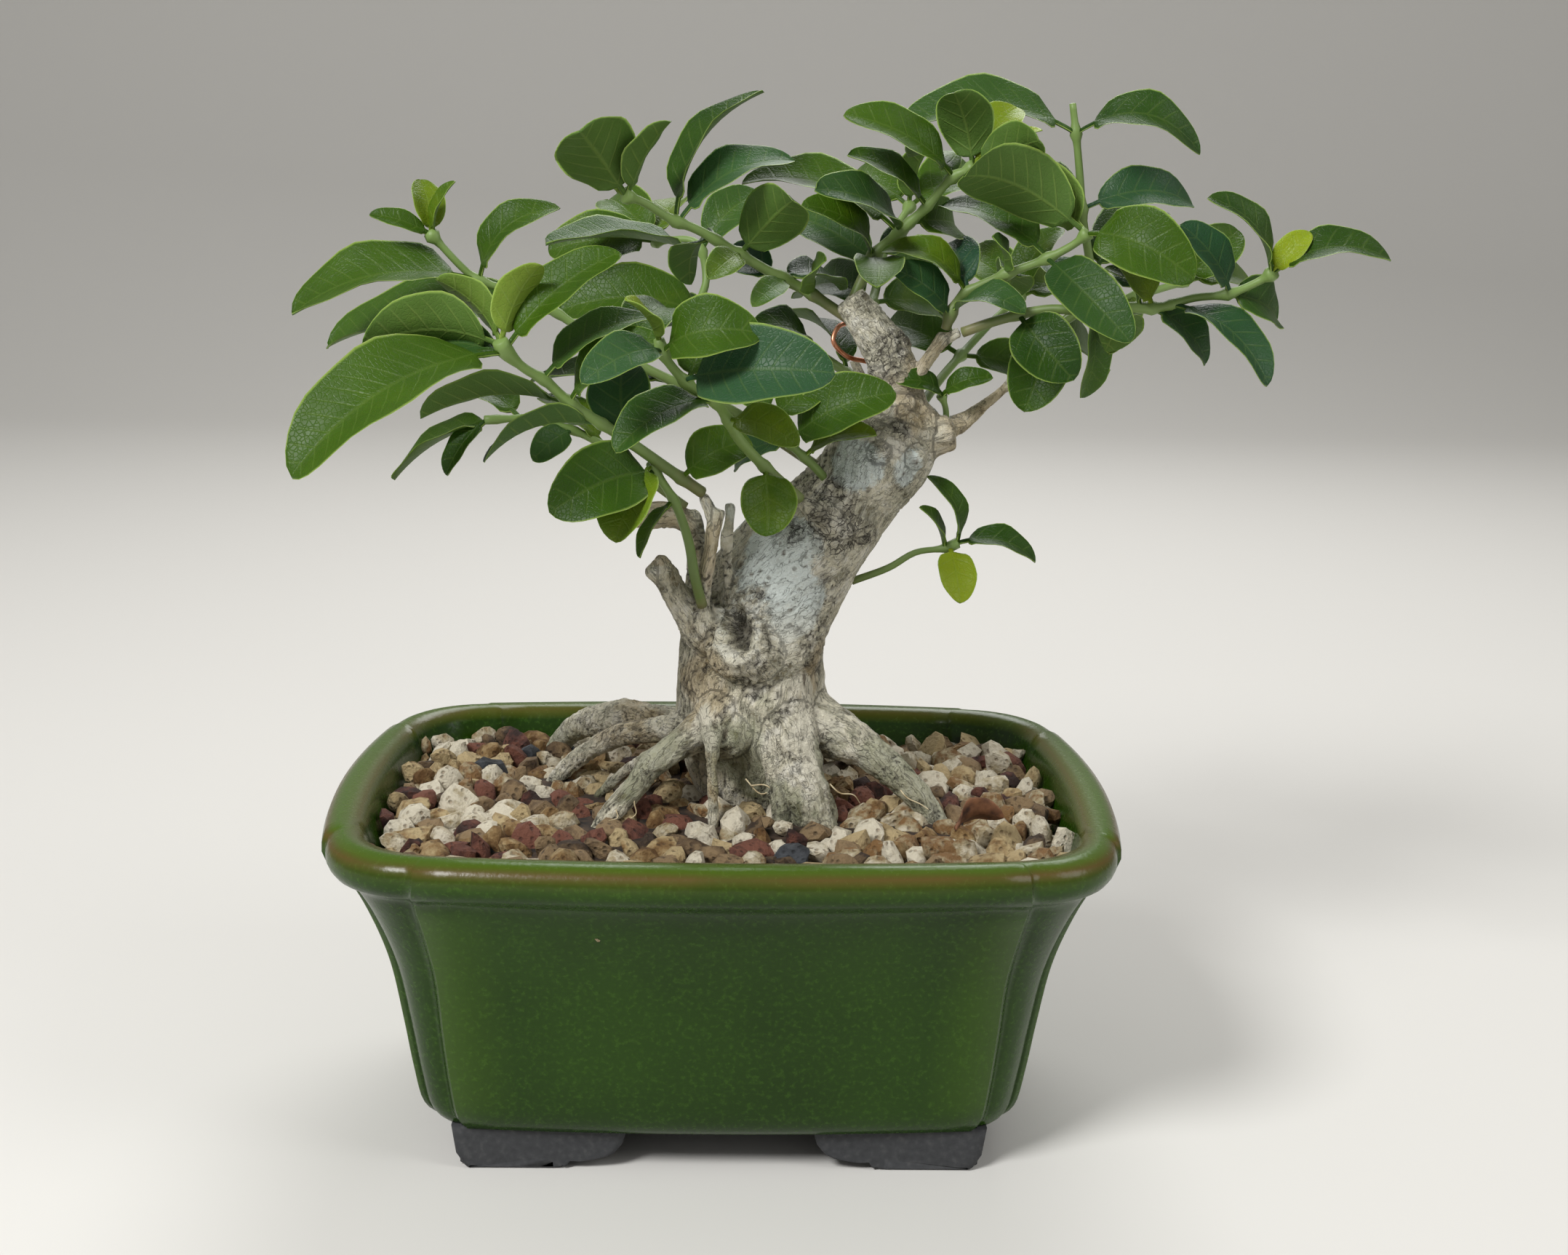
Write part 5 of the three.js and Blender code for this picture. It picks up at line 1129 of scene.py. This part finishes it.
def leafMaterials():
    # waxy young evergreen leaf: soft shine above, paler veins and rim, a painted bluish sheen on some; matt and pale
    # below
    result = []
    for name, under in (("leaf upper face", False), ("leaf lower face", True)):
        material, tree, shader, place = newMaterial(name)
        mark = {key: addNode(tree, "Attribute", out="Fac", attribute_name="leaf" + key)
                for key in ("Across", "Vein", "Age", "Blue")}
        cloud = addNode(tree, "TexNoise", {"Vector": place, "Scale": perMillimetre(7), "Detail": 4})
        cell = addNode(tree, "TexVoronoi", {"Vector": place, "Scale": perMillimetre(0.8)},
                       feature="DISTANCE_TO_EDGE")
        age = addNode(tree, "Math", [mark["Age"], 0.17], operation="SUBTRACT")
        age = addNode(tree, "Math", [cloud, 0.35, age], operation="MULTIPLY_ADD")
        colour = addNode(tree, "ValToRGB", {"Fac": age}, stops=[
            (0.1, leafForm["old"]), (0.5, leafForm["mid"]), (0.95, leafForm["young"])])
        # painted bluish sheen laid into the colour
        colour = blend(tree, colour, leafForm["blueSheen"], mark["Blue"], 0.6)
        if under:
            colour = blend(tree, colour, leafForm["under"], 0.55)
        distance = addNode(tree, "Math", [mark["Across"]], operation="ABSOLUTE")
        midrib = addNode(tree, "MapRange", {"Value": distance, "From Min": 0.07, "From Max": 0.02})
        toVein = addNode(tree, "Math", [mark["Vein"]], operation="FRACT")
        toVein = addNode(tree, "Math", [toVein, 0.5], operation="SUBTRACT")
        toVein = addNode(tree, "Math", [toVein], operation="ABSOLUTE")
        vein = addNode(tree, "MapRange", {"Value": toVein, "From Min": 0.09, "From Max": 0.02})
        inside = addNode(tree, "MapRange", {"Value": distance, "From Min": 0.9, "From Max": 0.6})
        vein = addNode(tree, "Math", [vein, inside], operation="MULTIPLY")
        veins = addNode(tree, "Math", [midrib, vein], operation="MAXIMUM")
        rim = addNode(tree, "MapRange", {"Value": distance, "From Min": 0.93, "From Max": 0.99})
        colour = blend(tree, colour, leafForm["vein"], veins, 0.3 if under else 0.11)
        colour = blend(tree, colour, leafForm["margin"], rim, 0.75)
        # veins stand out below and are sunk above, over a fine net
        net = addNode(tree, "MapRange", {"Value": cell, "From Max": 0.12})
        net = addNode(tree, "Math", [net, 0.25], operation="MULTIPLY")
        height = addNode(tree, "Math", [veins, 0.9 if under else -0.4, net], operation="MULTIPLY_ADD")
        bump = addNode(tree, "Bump", {"Height": height, "Strength": 0.45, "Distance": 0.0003})
        setInputs(tree, shader, {
            "Base Color": colour, "Normal": bump, "Roughness": 0.6 if under else 0.42, "Specular IOR Level": 0.2,
            "Subsurface Weight": 0.12, "Subsurface Radius": (0.3, 0.8, 0.15), "Subsurface Scale": 0.001})
        result.append(material)
    return result


def stemMaterial():
    # green young bark, smooth, browner where it is older
    material, tree, shader, place = newMaterial("green stem bark")
    age = addNode(tree, "Attribute", out="Fac", attribute_name="leafAge")
    cloud = addNode(tree, "TexNoise", {"Vector": place, "Scale": perMillimetre(3), "Detail": 5})
    share = addNode(tree, "Math", [cloud, 0.5, age], operation="MULTIPLY_ADD")
    colour = addNode(tree, "ValToRGB", {"Fac": share}, stops=[
        (0.2, leafForm["stemOld"]), (0.5, leafForm["stemMid"]), (0.9, leafForm["stem"])])
    setInputs(tree, shader, {"Base Color": colour, "Roughness": 0.5})
    return material


def leafMesh(base, row, random):
    # cross-sections along an arched midrib: half width = half the width times a power of a half sine wave;
    # each half is raised by the fold, its rim is slightly waved; a round stalk carries the blade
    tip, width, roll, arch = np.array(row[1:4], float), row[4], math.radians(row[5]), row[6]
    along = tip - base
    length = np.linalg.norm(along)
    along /= length
    up = np.array([0, -1, 0]) if abs(along[2]) > 0.93 else np.array([0, 0, 1])
    side = np.cross(along, up)
    side /= np.linalg.norm(side)
    side = side * math.cos(roll) + np.cross(side, along) * math.sin(roll)
    face = np.cross(side, along)
    petiole = leafForm["petiole"]
    blade = petiole + (1 - petiole) * (0.5 - 0.5 * np.cos(np.linspace(0, math.pi, leafForm["stations"] - 3)))
    share = np.concatenate([[0, petiole * 0.5], blade, [1.0]])[: leafForm["stations"]]
    v = np.clip((share - petiole) / (1 - petiole), 0, 1)
    stalk = leafForm["petioleWidth"] / 2 * (1 - 0.75 * v)
    fullness = np.interp(width / length, [0.25, 0.45], leafForm["fullness"])
    half = np.maximum(width / 2 * np.sin(math.pi * v ** leafForm["skew"]) ** fullness, stalk)
    half[-1] = 0.12
    count = leafForm["across"]
    across = np.sin(np.linspace(-math.pi / 2, math.pi / 2, count))
    isBlade = smoothStep(0.0, 0.12, v)[:, None]
    fold = math.radians(leafForm["fold"]) * isBlade
    reach = np.abs(across)[None] * half[:, None]
    rise = np.sin(fold) * reach ** 1.25 / np.maximum(half[:, None], 0.3) ** 0.25
    wave = random.uniform(0, 6.28, 2)
    ripple = 0.028 * width * np.sin(v[:, None] * 13 + wave[0] + np.sign(across)[None] * wave[1])
    rise = rise + ripple * isBlade * np.abs(across)[None] ** 2.5
    curl = 0.35 * arch * (v[:, None] ** 3) * -0.5
    sideways = np.sign(across)[None] * reach * np.cos(fold)
    bend = 0.04 * length * random.uniform(-1, 1) * np.sin(math.pi * share)[:, None]
    middle = base + along * (share * length)[:, None] + face * (arch * 4 * share * (1 - share))[:, None]
    middle = middle + side * bend
    thickness = leafForm["thickness"] * isBlade + (1 - isBlade) * leafForm["petioleWidth"]
    lens = np.sqrt(np.clip(1 - across**2, 0, 1))[None]
    bulge = thickness * 0.5 * (isBlade * lens**0.3 + (1 - isBlade) * lens)
    top = rise + curl + bulge
    rib = 0.32 * np.exp(-((reach / 0.5) ** 2)) * isBlade * (1 - v[:, None])
    bottom = rise + curl - bulge - rib
    flat = middle[:, None] + side * sideways[..., None]
    upper = flat + face * top[..., None]
    lower = (flat + face * bottom[..., None])[:, ::-1]
    points, quads, triangles = ringFaces(np.concatenate([upper, lower], axis=1))
    slant = 0.62 * np.abs(sideways) + 0.03 * sideways**2
    vein = (share[:, None] * length - slant) / leafForm["veinSpacing"] + 0.5
    vein = np.where(v[:, None] > 0.02, vein, 0.0)
    across = np.broadcast_to(across, vein.shape)
    marks = np.stack([np.concatenate([mark, mark[:, ::-1]], axis=1).ravel() for mark in (across, vein)], axis=1)
    marks = np.vstack([marks, marks[[0, -1]]])
    columns = np.tile(np.arange(2 * count), leafForm["stations"] - 1)
    underside = np.where(columns < count - 1, 0, 1)
    return points, quads, triangles, marks, underside


def addStems():
    # leaves are drawn in the table's order, so that the random draws stay the same
    random = np.random.default_rng(7)
    materials = [*leafMaterials(), stemMaterial()]
    for node in dict.fromkeys(stem["node"] for stem in stems):
        gathered = Gathered()
        quadKinds, triangleKinds = [], []
        for stem in (stem for stem in stems if stem["node"] == node):
            curve = splinePoints(tapered(stem["path"], stem["thick"][0] / 2, stem["thick"][1] / 2), 16)
            length = stepLengths(curve).sum()
            fine = evenPoints(curve, max(12, int(length / leafForm["stemStep"])))
            share = np.linspace(0, 1, len(fine))
            # the stem swells where a leaf grows from it
            for row in stem["leaves"]:
                away = (share - min(row[0], leafForm["lastBase"])) * length / 1.1
                fine[:, 3] += 0.3 * np.exp(-(away**2)) * (fine[:, 3] < 1.5)
            points, quads, triangles = tube(fine, leafForm["stemSides"])
            age = np.interp(np.linspace(0, 1, len(points)), [0, 0.35, 1], [0.0, 0.45, 0.9])
            zero = np.zeros(len(points))
            gathered.add(points, quads, triangles, np.stack([zero, zero, age, zero], axis=1))
            quadKinds.append(np.full(len(quads), 2))
            triangleKinds.append(np.full(len(triangles), 2))
            for row in stem["leaves"]:
                place = min(row[0], leafForm["lastBase"]) * (len(fine) - 1)
                start, end = fine[int(place), :3], fine[min(int(place) + 1, len(fine) - 1), :3]
                base = start + (end - start) * (place - int(place))
                points, quads, triangles, marks, underside = leafMesh(base, row, random)
                # small leaves and those at the tip are young and yellow, the others darker, some with a painted
                # bluish sheen
                atTip, small = row[0] > 0.97, row[4] < 8.5
                young = 0.75 if atTip and small else 0.5 if small or atTip else random.uniform(0.12, 0.5)
                young += random.uniform(-0.08, 0.12)
                blueSheen = random.uniform(0, 1) ** 3 * (0 if atTip else 1)
                if len(row) > 7:
                    young, blueSheen = row[7], row[8] if len(row) > 8 else 0
                extra = np.tile([young, blueSheen], (len(points), 1))
                gathered.add(points, quads, triangles, np.hstack([marks, extra]))
                quadKinds.append(underside)
                triangleKinds.append(np.zeros(len(triangles)))
        points, faces, marks = gathered.arrays()
        attributes = dict(zip(("leafAcross", "leafVein", "leafAge", "leafBlue"), marks.T))
        addPiece(node.replace("leaves", "spray"), points, faces, materials, [node], attributes,
                 np.concatenate(quadKinds + triangleKinds))


addStems()
print("leaves done")


litter = {
    "dryLeaf": ((42, -32, 65), [1, 51, -28.5, 66.4, 7, 60, 2.2]),
    # each hair root: points along it, x, y, z
    "hairs": [
        [[4, -11, 67.5], [7, -12.5, 65], [10.5, -12.8, 66.5], [12.5, -12, 64]],
        [[5, -12, 66.5], [8, -13.5, 67], [10, -14, 64.8], [10.6, -14.4, 62]],
        [[-16, -13, 67], [-17, -15, 64], [-16.6, -16, 62], [-18, -17, 61]],
        [[-19, -13.5, 65], [-20.4, -15.6, 63], [-20, -17.4, 61.6], [-21.6, -18.6, 61.4]],
        [[20, -12, 67], [22, -12.6, 65.4], [24.6, -12.4, 65], [26, -11.6, 63]],
        [[33, -8, 66], [35, -10.6, 64], [37.6, -11.6, 63], [39, -13, 62.4]],
    ],
    "hairWidth": 0.34,
    "hairSides": 6,
}


def addLitter():
    base, row = litter["dryLeaf"]
    points, quads, triangles, _, _ = leafMesh(np.array(base, float), row, np.random.default_rng(5))
    # withered leaf: red-brown, papery, matt
    withered = plainMaterial("withered leaf", 2.2, 5, [(0.35, "#3a2115"), (0.65, "#7d5337")],
                             {"Roughness": 0.75}, 0.5)
    addPiece("dry_leaf", points, [quads, triangles], [withered])
    gathered = Gathered()
    for stations in litter["hairs"]:
        path = tapered(stations, litter["hairWidth"] / 2, litter["hairWidth"] / 4)
        gathered.add(*tube(evenPoints(splinePoints(path, 8), 20), litter["hairSides"]))
    points, faces, _ = gathered.arrays()
    # hair roots: fine, pale, dry
    skin = plainMaterial("dry root skin", 2, 5, [(0.35, "#a08c68"), (0.65, "#d2c4a2")], {"Roughness": 0.8}, 0.5)
    addPiece("hair_roots", points, faces, [skin])


addLitter()


def addScreens():
    # black polyethylene mesh, moulded, faint gloss
    plastic = plainMaterial("moulded polyethylene mesh", 0.7, 3, [(0.3, "#17191a"), (0.7, "#26292a")],
                            {"Roughness": 0.5})
    for name in ("drain_screen_left", "drain_screen_right"):
        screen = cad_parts[name]
        screen.data.materials.clear()
        screen.data.materials.append(plastic)


studio = {
    "floor": "#dcdad5",
    # the paper's near edge, its bend up into a wall and the wall's top, in metres
    "floorNear": -6.0,
    "bendStart": 1.0,
    "bend": 0.6,
    "wallTop": 3.0,
    "halfWidth": 6.0,
    "sky": 0.3,
    # place, size in metres and watts of each soft light, aimed at the tree's middle
    "lights": [[(-0.52, -0.6, 0.78), 0.34, 9.6], [(0.75, -0.35, 0.6), 0.5, 2.4], [(0.1, 0.7, 0.8), 0.6, 4.5]],
    "aim": (0, 0, 0.11),
}


def addStudio():
    # matt paper sweep: pale, even, no shine
    material, tree, shader, _ = newMaterial("matt paper sweep")
    setInputs(tree, shader, {"Base Color": linearColour(studio["floor"]), "Roughness": 0.9})
    # a floor that curves up into a wall behind: a profile along y, carried along x
    near, bendStart, bend, top = (studio[key] for key in ("floorNear", "bendStart", "bend", "wallTop"))
    angle = np.radians(np.linspace(0, 90, 24))
    y = np.concatenate([[near, 0.0], bendStart + bend * np.sin(angle), [bendStart + bend]])
    z = np.concatenate([[0.0, 0.0], bend - bend * np.cos(angle), [top]])
    rows = np.stack([np.stack([np.full(len(y), x), y, z], axis=1)
                     for x in (-studio["halfWidth"], studio["halfWidth"])])
    grid = np.arange(2 * len(y)).reshape(2, -1)
    faces = np.stack([grid[0, :-1], grid[1, :-1], grid[1, 1:], grid[0, 1:]], axis=-1)
    mesh = bpy.data.meshes.new("sweep")
    mesh.from_pydata(rows.reshape(-1, 3), [], faces.tolist())
    mesh.materials.append(material)
    mesh.shade_smooth()
    sweep = bpy.data.objects.new("sweep", mesh)
    bpy.context.scene.collection.objects.link(sweep)
    for index, (place, size, watts) in enumerate(studio["lights"]):
        lamp = bpy.data.lights.new(f"soft light {index}", "AREA")
        lamp.shape, lamp.size, lamp.energy = "DISK", size, watts
        holder = bpy.data.objects.new(lamp.name, lamp)
        holder.location = place
        holder.rotation_euler = (Vector(studio["aim"]) - Vector(place)).to_track_quat("-Z", "Y").to_euler()
        bpy.context.scene.collection.objects.link(holder)
    world = bpy.data.worlds.new("studio")
    world.use_nodes = True
    background = world.node_tree.nodes["Background"]
    setInputs(world.node_tree, background, {"Color": (1.0, 0.99, 0.97, 1), "Strength": studio["sky"]})
    bpy.context.scene.world = world
    bpy.context.scene.view_settings.view_transform = "Standard"


addScreens()
addStudio()

print("studio done")
